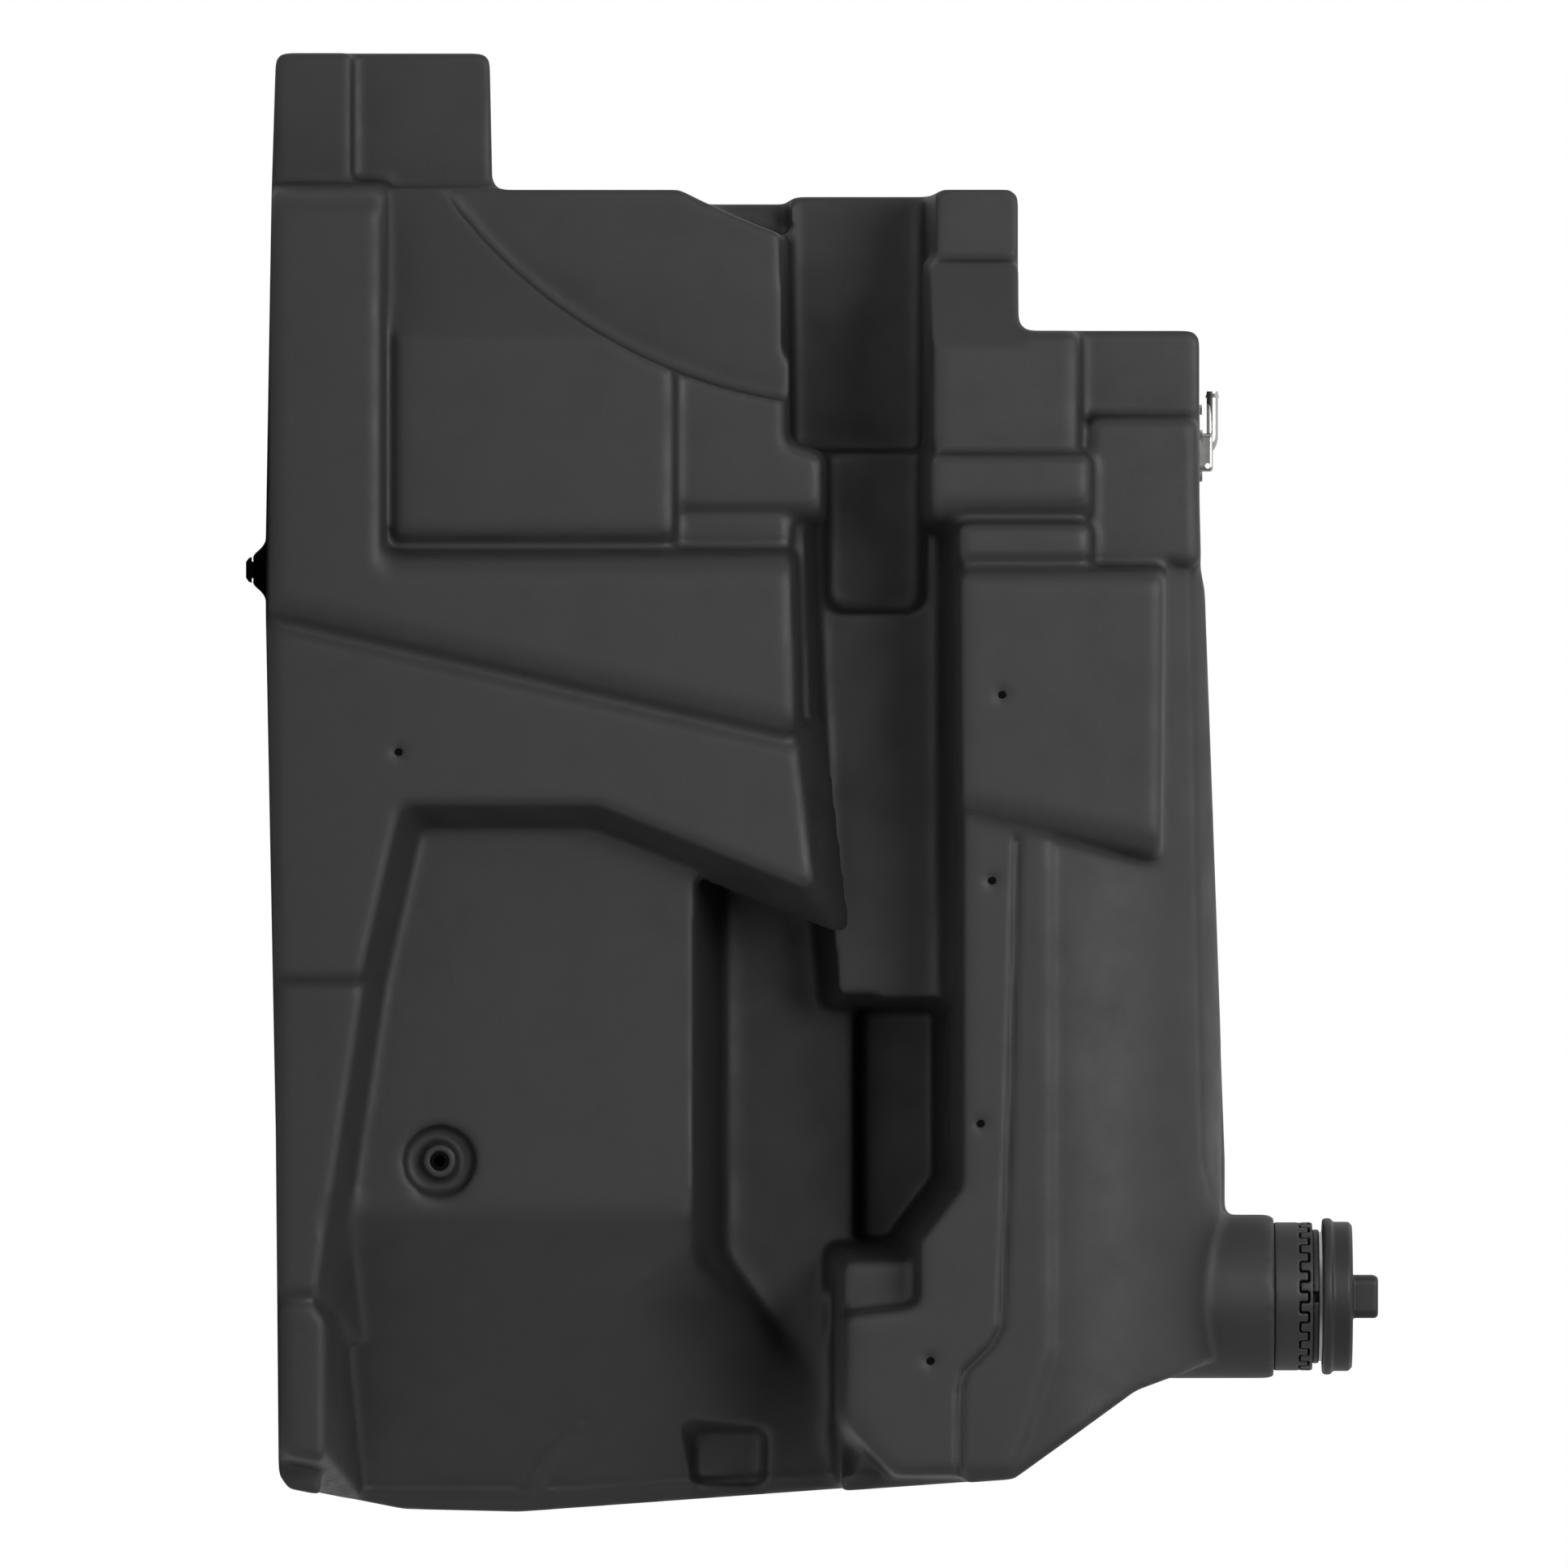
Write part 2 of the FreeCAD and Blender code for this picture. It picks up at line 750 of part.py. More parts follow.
BLOCKS = [column, leg, toe, heel, bay, strip, saddle, landing, upper_bar, lower_bar, shelf, rib,
          main_block, notch]

# The round shoulder between the rib and the top, under the neck
SHOULDER = [
    ("rib_depth + 4 - half_depth", "rib_z + 4"),
    ("rib_depth + 4 - half_depth", "rib_z + 66"),
    ("rib_depth + 4 + shoulder_radius - half_depth", "rib_z + 66 + shoulder_radius"),
    ("well_depth - half_depth", "rib_z + 66 + shoulder_radius"),
    ("well_depth - half_depth", "rib_z + 4"),
]
SHOULDER_ARC = {1: ("rib_depth + 4 + shoulder_radius - half_depth", "rib_z + 66")}
shoulder = new_body("shoulder")
shoulder_profile = new_sketch(shoulder, "shoulder_profile", "side", "rib_x + 1", SHOULDER, SHOULDER_ARC)
pad(shoulder, "shoulder_pad", shoulder_profile, "foot_x - rib_x + 10")
shoulder_offset = doc.addObject("Part::Offset2D", "shoulder_inner_profile")
shoulder_offset.Source = shoulder_profile
shoulder_offset.Mode = "Pipe"
shoulder_offset.Join = "Intersection"
shoulder_offset.Value = -value("wall")
shoulder_offset.setExpression("Value", "-dims.wall")
shoulder_inner = doc.addObject("Part::Extrusion", "shoulder_inner")
shoulder_inner.Base = shoulder_offset
shoulder_inner.DirMode = "Custom"
shoulder_inner.Dir = FreeCAD.Vector(1, 0, 0)
shoulder_inner.Solid = True
tie(shoulder_inner, "LengthFwd", "foot_x - rib_x + 10")
tie(shoulder_inner, "LengthRev", "0 - wall")


# Cuts made through the raised steps
def round_cut(name, x_high, z_low, z_high, depth, centre_x, centre_z, radius):
    """Cut open to the head of the tank whose lower edge follows a circle, and its larger space."""
    pair = []
    near, far = box_pair(name + "_box", "head_x - 24", x_high, z_low, z_high, depth)
    for label, box, extra in (("", near, "0"), ("_keep", far, "wall")):
        disc = drum(name + "_disc" + label, radius + " + " + extra, "0 - mouth_margin - half_depth",
                    depth + " - half_depth + " + extra, x=centre_x, y=centre_z, axis="y")
        pair.append(common(name + label, [box, disc]))
    return tuple(pair)


arch = round_cut("arch", "0 - 267", "110", "spine_z - 2", "arch_depth", "0 - 627", "434.5", "arch_radius")
brow = round_cut("brow", "head_x + 40", "304", "spine_z - 2", "trench_depth", "0 - 971", "589.4",
                 "brow_radius")
bay_slope = slope("bay_slope", "level", [
    ("head_x + 105", "bay_depth - half_depth"),
    ("head_x - 24", "bay_depth + 60 - half_depth"),
    ("head_x - 24", "0 - mouth_margin - half_depth"),
    ("head_x + 105", "0 - mouth_margin - half_depth"),
], "column_z + 3", "300 - column_z + 8")
landing_slope = slope("landing_slope", "level", [
    ("head_x + 111", "bay_depth - half_depth"),
    ("head_x + 53", "deck_depth - half_depth"),
    ("head_x + 30", "deck_depth + 12 - half_depth"),
    ("head_x + 30", "0 - mouth_margin - half_depth"),
    ("head_x + 111", "0 - mouth_margin - half_depth"),
], "gully_z - 4", "deck_z - gully_z + 8")
CUTS = [arch, brow, bay_slope, landing_slope]

doc.recompute()


def ring(name, outer, inner, low, high, x="0", y_depth="0"):
    """Plain ring about an upright axis."""
    tube = cut(name, drum(name + "_outside", outer, low, high),
               drum(name + "_inside", inner, low + " - 1", high + " + 1"))
    tie(tube, "Placement.Base.x", x)
    tie_depth(tube, "Placement.Base.y", y_depth)
    return tube


def upright(name, radius, low, high, x, y_depth):
    return drum(name, radius, low, high, x=x, y=y_depth + " - half_depth")


def inward(name, radius, near_depth, far_depth, x, z):
    return drum(name, radius, near_depth + " - half_depth", far_depth + " - half_depth", x=x, y=z, axis="y")


# Solid form of the moulding and the form of its hollow, step by step
pocket_tools = fuse("pocket_tools", [near for near, far in POCKETS])
outer_deck = cut("outer_deck", envelope, pocket_tools)
outer_steps = fuse("outer_steps", [outer_deck, shoulder] + [outer for outer, inner in BLOCKS])
outer_cut = cut("outer_cut", outer_steps, fuse("cut_tools", [near for near, far in CUTS]))
outer_form = common("outer_form", [outer_cut, envelope])
pocket_keeps = fuse("pocket_keeps", [far for near, far in POCKETS])
inner_deck = cut("inner_deck", hollow, pocket_keeps)
inner_steps = fuse("inner_steps", [inner_deck, shoulder_inner] + [inner for outer, inner in BLOCKS])
inner_cut = cut("inner_cut", inner_steps, fuse("cut_keeps", [far for near, far in CUTS]))
inner_form = common("inner_form", [inner_cut, hollow])

# What stands out of the moulding: the neck and the drain boss
neck = upright("neck", "neck_radius", "shoulder_z - 40", "neck_z", "neck_x", "neck_depth")
drain_boss = doc.addObject("Part::Cone", "drain_boss")
tie(drain_boss, "Radius1", "boss_tip")
tie(drain_boss, "Radius2", "boss_radius")
tie(drain_boss, "Height", "floor_z - drain_tip_z - 2")
tie(drain_boss, "Placement.Base.x", "drain_x")
tie_depth(drain_boss, "Placement.Base.y", "drain_depth")
tie(drain_boss, "Placement.Base.z", "drain_tip_z")
drain_root = upright("drain_root", "boss_radius", "floor_z - 2", "floor_z + wall + 10",
                     "drain_x", "drain_depth")

# Threaded inserts in the front: name, X, Z and the depth of the face they sit in
INSERTS = [
    ("leg_insert", "0 - 22", "107", "leg_depth"),
    ("block_insert", "0 - 62", "rib_z + 29", "block_depth"),
    ("rib_insert_low", "0 + 68", "rib_z + 22", "rib_depth"),
    ("rib_insert_middle", "0 + 238", "rib_z + 14", "rib_depth"),
    ("rib_insert_high", "0 + 404", "rib_z - 21", "rib_depth"),
]
bosses = [
    upright("seat_stock", "seat_radius", "seat_z - seat_thick", "seat_z", "sender_x", "sender_depth"),
    upright("drain_stock", "boss_radius", "floor_z - 2", "floor_z + wall + 10", "drain_x", "drain_depth"),
    inward("socket_stock", "socket_boss", "deck_depth", "deck_depth + socket_length + 12",
           "socket_x", "socket_z"),
]
for name, x, z, depth in INSERTS:
    bosses.append(inward(name + "_stock", "insert_radius + boss_wall", depth,
                         depth + " + insert_length + boss_wall", x, z))
socket_keep = inward("socket_keep", "socket_radius + wall", "0 - mouth_margin",
                     "deck_depth + socket_sink + wall", "socket_x", "socket_z")
cavity = cut("cavity", inner_form, fuse("boss_stock", bosses + [socket_keep]))

neck_bore = upright("neck_bore_hole", "neck_bore", "shoulder_z - 70", "neck_z + 1", "neck_x", "neck_depth")
socket_ring = cut("socket_ring",
                  inward("socket_recess", "socket_radius", "0 - mouth_margin", "deck_depth + socket_sink",
                         "socket_x", "socket_z"),
                  inward("socket_post", "socket_boss", "deck_depth + socket_sink - 8",
                         "deck_depth + socket_sink + 1", "socket_x", "socket_z"))
holes = [
    socket_ring,
    upright("sender_port", "port_radius", "seat_z - seat_thick - 9", "seat_z + 1",
            "sender_x", "sender_depth"),
    upright("drain_hole", "drain_bore", "0 - 1", "floor_z + wall + 30", "drain_x", "drain_depth"),
    inward("socket_hole", "socket_insert", "deck_depth + socket_sink - 9",
           "deck_depth + socket_sink - 8 + socket_length", "socket_x", "socket_z"),
]
for name, x, z, depth in INSERTS:
    holes.append(inward(name + "_hole", "insert_radius", depth + " - 1", depth + " + insert_length", x, z))

screw_spots = []
for index in range(int(value("screw_count"))):
    angle = math.radians(36 + 360 * index / value("screw_count"))
    screw_spots.append((math.cos(angle), math.sin(angle)))


def screw_drum(name, radius, low, high, spot):
    """Upright cylinder on the sender's screw circle."""
    solid = drum(name, radius, low, high)
    across, along = spot
    solid.setExpression("Placement.Base.x", "dims.sender_x + dims.screw_circle * " + repr(round(across, 6)))
    solid.setExpression("Placement.Base.y", bound("sender_depth - half_depth") + " + dims.screw_circle * "
                        + repr(round(along, 6)))
    return solid


for index, spot in enumerate(screw_spots):
    holes.append(screw_drum("screw_hole_" + str(index), "screw_radius", "seat_z - 11", "seat_z + 1", spot))

doc.recompute()
shell_shape = outer_form.Shape
for part in (drain_root, drain_boss, neck):
    shell_shape = shell_shape.fuse(part.Shape)
for tool in [cavity, neck_bore] + holes:
    shell_shape = shell_shape.cut(tool.Shape)
tank_shell = doc.addObject("Part::Feature", "tank_shell")
tank_shell.Shape = shell_shape.Solids[0]
NODES = [tank_shell]

# Inserts pressed into the front, one group of equal bushes, and the large one in the round socket
bushes = []
for name, x, z, depth in INSERTS:
    outside = inward(name + "_outside", "insert_radius", depth, depth + " + insert_length", x, z)
    inside = inward(name + "_inside", "insert_bore", depth + " - 1", depth + " + insert_length - 2", x, z)
    bushes.append(cut(name, outside, inside))
front_inserts = doc.addObject("Part::Compound", "front_inserts")
front_inserts.Links = bushes
panel_insert = cut("panel_insert",
                   inward("panel_insert_outside", "socket_insert", "deck_depth + socket_sink - 8",
                          "deck_depth + socket_sink - 8 + socket_length", "socket_x", "socket_z"),
                   inward("panel_insert_inside", "socket_bore", "deck_depth + socket_sink - 9",
                          "deck_depth + socket_sink - 11 + socket_length", "socket_x", "socket_z"))
NODES += [front_inserts, panel_insert]

# Drain plug with a hexagon socket, and its sealing washer
drain_plug_body = turned("drain_plug_turned", [
    ("0", "0"),
    ("5.6", "0"),
    ("8.6", "drain_head_z - 0.8"),
    ("8.6", "drain_head_z"),
    ("drain_bore - running_gap", "drain_head_z"),
    ("drain_bore - running_gap", "floor_z + wall + 8"),
    ("0", "floor_z + wall + 8"),
], "drain_x", "drain_depth - half_depth")
hexagon = doc.addObject("Part::Prism", "drain_hexagon")
hexagon.Polygon = 6
tie(hexagon, "Circumradius", "key_radius")
tie(hexagon, "Height", "key_depth + 1")
tie(hexagon, "Placement.Base.x", "drain_x")
tie_depth(hexagon, "Placement.Base.y", "drain_depth")
hexagon.Placement.Base.z = -1
drain_plug = cut("drain_plug", drain_plug_body, hexagon)
drain_seal = ring("drain_seal", "boss_tip - 1.5", "drain_bore + 0.1", "drain_head_z", "drain_tip_z",
                  "drain_x", "drain_depth")
NODES += [drain_plug, drain_seal]


# Filler sleeve: a spigot in the neck, a collar on it and a crown of square teeth
AXIS_X = "neck_x"
AXIS_Y = "neck_depth - half_depth"
sleeve_turned = turned("sleeve_turned", [
    ("sleeve_bore", "neck_z - sleeve_plug"),
    ("neck_bore", "neck_z - sleeve_plug"),
    ("neck_bore", "neck_z"),
    ("sleeve_radius", "neck_z"),
    ("sleeve_radius", "tooth_top_z"),
    ("spigot_radius", "tooth_top_z"),
    ("spigot_radius", "ring_z"),
    ("sleeve_bore", "ring_z"),
], AXIS_X, AXIS_Y)
ring_turned = turned("ring_turned", [
    ("spigot_radius + 0.2", "sleeve_z + tooth_gap"),
    ("sleeve_radius", "sleeve_z + tooth_gap"),
    ("sleeve_radius", "ring_z"),
    ("spigot_radius + 0.2", "ring_z"),
], AXIS_X, AXIS_Y)
SLOT_WIDTH = "(pi * dims.sleeve_radius / dims.tooth_count + dims.tooth_gap)"


def crown(name, low, high, turn):
    """Wheel of radial bars, one between each pair of teeth."""
    bars = []
    count = int(value("tooth_count"))
    for index in range(count):
        bar = doc.addObject("Part::Box", name + "_bar_" + str(index))
        bar.setExpression("Width", SLOT_WIDTH)
        tie(bar, "Length", "sleeve_radius - spigot_radius + 3")
        bar.setExpression("Height", "(" + bound(high) + ") - (" + bound(low) + ")")
        angle = 360 * (index + turn) / count
        width = math.pi * value("sleeve_radius") / count + value("tooth_gap")
        out = FreeCAD.Rotation(FreeCAD.Vector(0, 0, 1), angle)
        corner = FreeCAD.Vector(value("spigot_radius"), -width / 2, 0)
        middle = FreeCAD.Vector(value(AXIS_X), value(AXIS_Y), value(low))
        bar.Placement = FreeCAD.Placement(middle + out.multVec(corner), out)
        bars.append(bar)
    return fuse(name, bars)


filler_sleeve = cut("filler_sleeve", sleeve_turned, crown("sleeve_slots", "sleeve_z", "tooth_top_z + 1", 0))
lock_ring = cut("lock_ring", ring_turned, crown("ring_slots", "sleeve_z", "tooth_top_z + tooth_gap", 0.5))

mouth_turned = ring("mouth_turned", "mouth_radius", "sleeve_bore", "ring_z", "mouth_z",
                    "neck_x", "neck_depth")
mouth_slot = doc.addObject("Part::Box", "mouth_slot")
tie(mouth_slot, "Length", "slot_width")
tie(mouth_slot, "Width", "mouth_radius")
tie(mouth_slot, "Height", "mouth_z - ring_z + 2")
mouth_slot.setExpression("Placement.Base.x", "dims.neck_x - dims.slot_width / 2")
tie(mouth_slot, "Placement.Base.y", "neck_depth - half_depth - mouth_radius - 3")
tie(mouth_slot, "Placement.Base.z", "ring_z - 1")
mouth_ring = cut("mouth_ring", mouth_turned, mouth_slot)
neck_ring = ring("neck_ring", "mouth_radius - 1.5", "sleeve_bore - 1", "mouth_z", "lip_z",
                 "neck_x", "neck_depth")
NODES += [filler_sleeve, lock_ring, mouth_ring, neck_ring]

# Cap: outer shell with its grip, the threaded core, the sealing ring and the vent
cap_turned = turned("cap_turned", [
    ("0", "cap_z"),
    ("cap_radius - 2.5", "cap_z"),
    ("cap_radius", "cap_z - 2.5"),
    ("cap_radius", "cap_lip_z + 0.6"),
    ("cap_radius + 0.4", "cap_lip_z"),
    ("cap_lip_radius - 1.4", "cap_lip_z"),
    ("cap_lip_radius", "cap_lip_z - 1.4"),
    ("cap_lip_radius", "lip_z + 1.8"),
    ("cap_lip_radius - 1.4", "lip_z + cap_gap"),
    ("mouth_radius", "lip_z + cap_gap"),
    ("mouth_radius", "cap_z - cap_wall"),
    ("0", "cap_z - cap_wall"),
], AXIS_X, AXIS_Y)
grip_body = new_body("grip")
grip_sketch = new_sketch(grip_body, "grip_outline", "level", "cap_z - 1", [
    ("0 - grip_half", "0 - grip_reach"),
    ("grip_half", "0 - grip_reach"),
    ("grip_half", "grip_reach"),
    ("0 - grip_half", "grip_reach"),
])
pad(grip_body, "grip_pad", grip_sketch, "grip_z - cap_z + 1")


def grip_radius(edge):
    heights = [vertex.Point.z for vertex in edge.Vertexes]
    if abs(heights[0] - heights[1]) > 1:
        return 6
    return 2.8 if heights[0] > value("cap_z") else 0


grip = rounded("grip_rounded", grip_body, grip_radius)
tie(grip, "Placement.Base.x", "neck_x")
tie_depth(grip, "Placement.Base.y", "neck_depth")
cap_shell = fuse("cap_shell", [cap_turned, grip])
cap_core = turned("cap_core", [
    ("valve_radius", "lip_z + 2.5"),
    ("plug_radius - 4", "lip_z + 2.5"),
    ("plug_radius - 4", "lip_z - plug_length"),
    ("plug_radius", "lip_z - plug_length"),
    ("plug_radius", "lip_z + 2.5"),
    ("mouth_radius - 0.3", "lip_z + 2.5"),
    ("mouth_radius - 0.3", "lip_z + 7"),
    ("valve_radius + 4", "lip_z + 7"),
    ("valve_radius + 4", "cap_z - cap_wall"),
    ("valve_radius", "cap_z - cap_wall"),
], AXIS_X, AXIS_Y)
cap_seal = ring("cap_seal", "mouth_radius - 1.5", "plug_radius + 0.4", "lip_z", "lip_z + 2.4",
                "neck_x", "neck_depth")
vent_seat = turned("vent_seat", [
    ("2", "lip_z + 2.5"),
    ("valve_radius", "lip_z + 2.5"),
    ("valve_radius", "lip_z + 5.5"),
    ("4", "lip_z + 5.5"),
], AXIS_X, AXIS_Y)
vent_ball = doc.addObject("Part::Sphere", "vent_ball")
vent_ball.Radius = 3.6
tie(vent_ball, "Placement.Base.x", "neck_x")
tie_depth(vent_ball, "Placement.Base.y", "neck_depth")
tie(vent_ball, "Placement.Base.z", "lip_z + 6")
NODES += [cap_shell, cap_core, cap_seal, vent_seat, vent_ball]


# Level sender: gasket, flange and screws on the seat, with the pipe and the stem through them
gasket_top = "seat_z + gasket_thick"
flange_top = "seat_z + gasket_thick + flange_thick"


def with_screw_holes(name, plate, low, high):
    drums = [screw_drum(name + "_hole_" + str(i), "screw_radius", low, high, spot)
             for i, spot in enumerate(screw_spots)]
    return cut(name, plate, fuse(name + "_holes", drums))


sender_gasket = with_screw_holes(
    "sender_gasket",
    ring("gasket_plate", "flange_radius + 1.5", "port_radius", "seat_z", gasket_top,
         "sender_x", "sender_depth"),
    "seat_z - 1", gasket_top + " + 1")

# The pickup pipe: a barb at its end, a bend in the head, then straight down to the strainer
pipe_x = value("sender_x") + value("pipe_offset")
pipe_y = depth_to_y("sender_depth")
bend = value("pipe_bend")
top = value("pipe_z")
path = Part.Wire([
    Part.LineSegment(FreeCAD.Vector(value("sender_x") - value("pipe_reach"), pipe_y, top),
                     FreeCAD.Vector(pipe_x - bend, pipe_y, top)).toShape(),
    Part.Arc(FreeCAD.Vector(pipe_x - bend, pipe_y, top),
             FreeCAD.Vector(pipe_x - bend * (1 - math.sqrt(0.5)), pipe_y, top - bend * (1 - math.sqrt(0.5))),
             FreeCAD.Vector(pipe_x, pipe_y, top - bend)).toShape(),
    Part.LineSegment(FreeCAD.Vector(pipe_x, pipe_y, top - bend),
                     FreeCAD.Vector(pipe_x, pipe_y, value("pipe_foot_z"))).toShape(),
])


def swept(name, radius):
    circle = Part.Circle(FreeCAD.Vector(value("sender_x") - value("pipe_reach"), pipe_y, top),
                         FreeCAD.Vector(1, 0, 0), radius)
    feature = doc.addObject("Part::Feature", name)
    feature.Shape = path.makePipeShell([Part.Wire(circle.toShape())], True, True)
    return feature


pipe_outside = swept("pipe_outside", value("pipe_radius"))
pipe_inside = swept("pipe_inside", value("pipe_bore"))
barb = doc.addObject("Part::Cone", "pipe_barb")
tie(barb, "Radius1", "pipe_radius - 0.4")
tie(barb, "Radius2", "pipe_radius + 1")
tie(barb, "Height", "barb_length")
barb.Placement = FreeCAD.Placement(FreeCAD.Vector(0, 0, 0), FreeCAD.Rotation(FreeCAD.Vector(0, 1, 0), 90))
tie(barb, "Placement.Base.x", "sender_x - pipe_reach")
tie_depth(barb, "Placement.Base.y", "sender_depth")
tie(barb, "Placement.Base.z", "pipe_z")
pickup_pipe = cut("pickup_pipe", fuse("pipe_and_barb", [pipe_outside, barb]), pipe_inside)

stem_x = "sender_x + 12"
stem_y = "sender_depth - half_depth + stem_back"
sender_stem = doc.addObject("Part::Box", "sender_stem")
tie(sender_stem, "Length", "stem_width")
tie(sender_stem, "Width", "stem_thick")
sender_stem.setExpression("Height", "dims.stem_length + dims.gasket_thick")
tie(sender_stem, "Placement.Base.x", stem_x + " - stem_width + 6")
tie(sender_stem, "Placement.Base.y", stem_y)
tie(sender_stem, "Placement.Base.z", "seat_z - stem_length")
flange_blank = upright("flange_blank", "flange_radius", gasket_top, flange_top, "sender_x", "sender_depth")
flange_drilled = with_screw_holes("flange_drilled", flange_blank, gasket_top + " - 1", flange_top + " + 1")
sender_flange = cut("sender_flange", flange_drilled, pipe_outside)
screws = []
for index, spot in enumerate(screw_spots):
    shank = screw_drum("screw_shank_" + str(index), "screw_radius", "seat_z - 10", flange_top, spot)
    pan = screw_drum("screw_pan_" + str(index), "screw_radius + 1.6", flange_top, flange_top + " + 1.9", spot)
    screws.append(fuse("screw_" + str(index), [shank, pan]))
sender_screws = doc.addObject("Part::Compound", "sender_screws")
sender_screws.Links = screws
NODES += [sender_gasket, sender_flange, sender_screws, pickup_pipe, sender_stem]

head_body = new_body("head_block")
head_sketch = new_sketch(head_body, "head_outline", "level", flange_top, [
    ("0 - 9.5", "0 - 9"),
    ("17.5", "0 - 9"),
    ("17.5", "9"),
    ("0 - 9.5", "9"),
])
pad(head_body, "head_pad", head_sketch, "head_z - seat_z - gasket_thick - flange_thick")


def head_radius(edge):
    heights = [vertex.Point.z for vertex in edge.Vertexes]
    if abs(heights[0] - heights[1]) > 1:
        return 3.5
    return 2 if heights[0] > value("head_z") - 1 else 0


head = rounded("head_rounded", head_body, head_radius)
tie(head, "Placement.Base.x", "sender_x")
tie_depth(head, "Placement.Base.y", "sender_depth")
ear_hole = drum("ear_hole", "screw_radius", "sender_depth - half_depth - 20",
                "sender_depth - half_depth + 20", x="sender_x + 13.5", y="head_z - 3.6", axis="y")
sender_head = cut("sender_head", head, fuse("head_holes", [pipe_outside, ear_hole]))
pickup_strainer = turned("pickup_strainer", [
    ("0", "strainer_z"),
    ("strainer_radius - 2", "strainer_z"),
    ("strainer_radius", "strainer_z + 2"),
    ("strainer_radius", "pipe_foot_z"),
    ("pipe_radius + 2.5", "pipe_foot_z + 5"),
    ("pipe_radius + 2.5", "pipe_foot_z + 14"),
    ("pipe_radius", "pipe_foot_z + 14"),
    ("pipe_radius", "pipe_foot_z"),
    ("0", "pipe_foot_z"),
], "sender_x + pipe_offset", "sender_depth - half_depth")
NODES += [sender_head, pickup_strainer]

# Float gauge: the sensor on the stem, the pivot pin, and the wire arm with its float
pivot_x = stem_x
pivot_z = "seat_z - stem_length + 12"
sensor_y = stem_y + " + stem_thick"
hub_y = sensor_y + " + sensor_thick + 0.4"
level_sensor_body = doc.addObject("Part::Box", "sensor_block")
tie(level_sensor_body, "Length", "sensor_width")
tie(level_sensor_body, "Width", "sensor_thick")
tie(level_sensor_body, "Height", "sensor_height")
level_sensor_body.setExpression("Placement.Base.x", "(" + bound(pivot_x) + ") - dims.sensor_width / 2")
tie(level_sensor_body, "Placement.Base.y", sensor_y)
tie(level_sensor_body, "Placement.Base.z", pivot_z + " - 13")


def sensor_radius(edge):
    return 2 if abs(edge.Vertexes[0].Point.y - edge.Vertexes[1].Point.y) > 1 else 0


sensor_hole = drum("sensor_hole", "pin_radius", sensor_y + " - 1", hub_y, x=pivot_x, y=pivot_z, axis="y")
level_sensor = cut("level_sensor", rounded("sensor_rounded", level_sensor_body, sensor_radius), sensor_hole)
pin_shaft = drum("pin_shaft", "pin_radius", sensor_y, hub_y + " + 9", x=pivot_x, y=pivot_z, axis="y")
pin_head = drum("pin_head", "pin_radius + 1.6", hub_y + " + 7.4", hub_y + " + 9",
                x=pivot_x, y=pivot_z, axis="y")
pivot_pin = fuse("pivot_pin", [pin_shaft, pin_head])

arm_angle = math.radians(value("arm_drop"))
reach = value("arm_length")
hub_middle = value(hub_y) + 3.5
pivot = FreeCAD.Vector(value(pivot_x), hub_middle, value(pivot_z))
tip = pivot + FreeCAD.Vector(reach * math.cos(arm_angle), 0, -reach * math.sin(arm_angle))
inner_end = pivot + (tip - pivot) * (4 / reach)
elbow = 6
before = tip - (tip - pivot) * (elbow / reach)
after = tip + FreeCAD.Vector(0, elbow, 0)
corner_middle = tip + ((before - tip) + (after - tip)) * (1 - math.sqrt(0.5))
wire_end = tip + FreeCAD.Vector(0, elbow + value("float_length") + 2, 0)
arm_path = Part.Wire([
    Part.LineSegment(inner_end, before).toShape(),
    Part.Arc(before, corner_middle, after).toShape(),
    Part.LineSegment(after, wire_end).toShape(),
])
arm_circle = Part.Circle(inner_end, tip - pivot, value("arm_radius"))
arm_wire = doc.addObject("Part::Feature", "arm_wire")
arm_wire.Shape = arm_path.makePipeShell([Part.Wire(arm_circle.toShape())], True, True)
hub = drum("arm_hub", "pin_radius + 3.5", hub_y, hub_y + " + 7", x=pivot_x, y=pivot_z, axis="y")
hub_bore = drum("arm_bore", "pin_radius + running_gap", hub_y + " - 1", hub_y + " + 8", x=pivot_x, y=pivot_z,
                axis="y")
float_arm = cut("float_arm", fuse("arm_and_hub", [arm_wire, hub]), hub_bore)


def beside_tip(name, radius, low, high):
    """Cylinder along Y about the outer end of the arm."""
    solid = drum(name, radius, hub_y + " + 3.5 + " + low, hub_y + " + 3.5 + " + high, axis="y")
    solid.setExpression("Placement.Base.x", "(" + bound(pivot_x) + ") + dims.arm_length * cos(dims.arm_drop)")
    solid.setExpression("Placement.Base.z", "(" + bound(pivot_z) + ") - dims.arm_length * sin(dims.arm_drop)")
    return solid


float_blank = beside_tip("float_blank", "float_radius", "6", "6 + float_length")
float_round = rounded("float_rounded", float_blank, lambda edge: 4 if len(edge.Vertexes) == 1 else 0)
fuel_float = cut("fuel_float", float_round, beside_tip("float_hole", "arm_radius", "5", "7 + float_length"))
NODES += [level_sensor, pivot_pin, float_arm, fuel_float]

doc.recompute()
for thing in doc.Objects:
    if "Invalid" in thing.State or "Error" in thing.State:
        raise RuntimeError("This piece did not build: " + thing.Name)
os.makedirs("parts", exist_ok=True)
for node in NODES:
    shape = node.Shape
    node.Label = node.Name
    if shape.isNull() or not shape.isValid():
        raise RuntimeError("This node has no sound shape: " + node.Name)
    shape.exportStep("parts/" + node.Name + ".step")
    print(node.Name, len(shape.Solids), round(shape.Volume / 1000, 2))
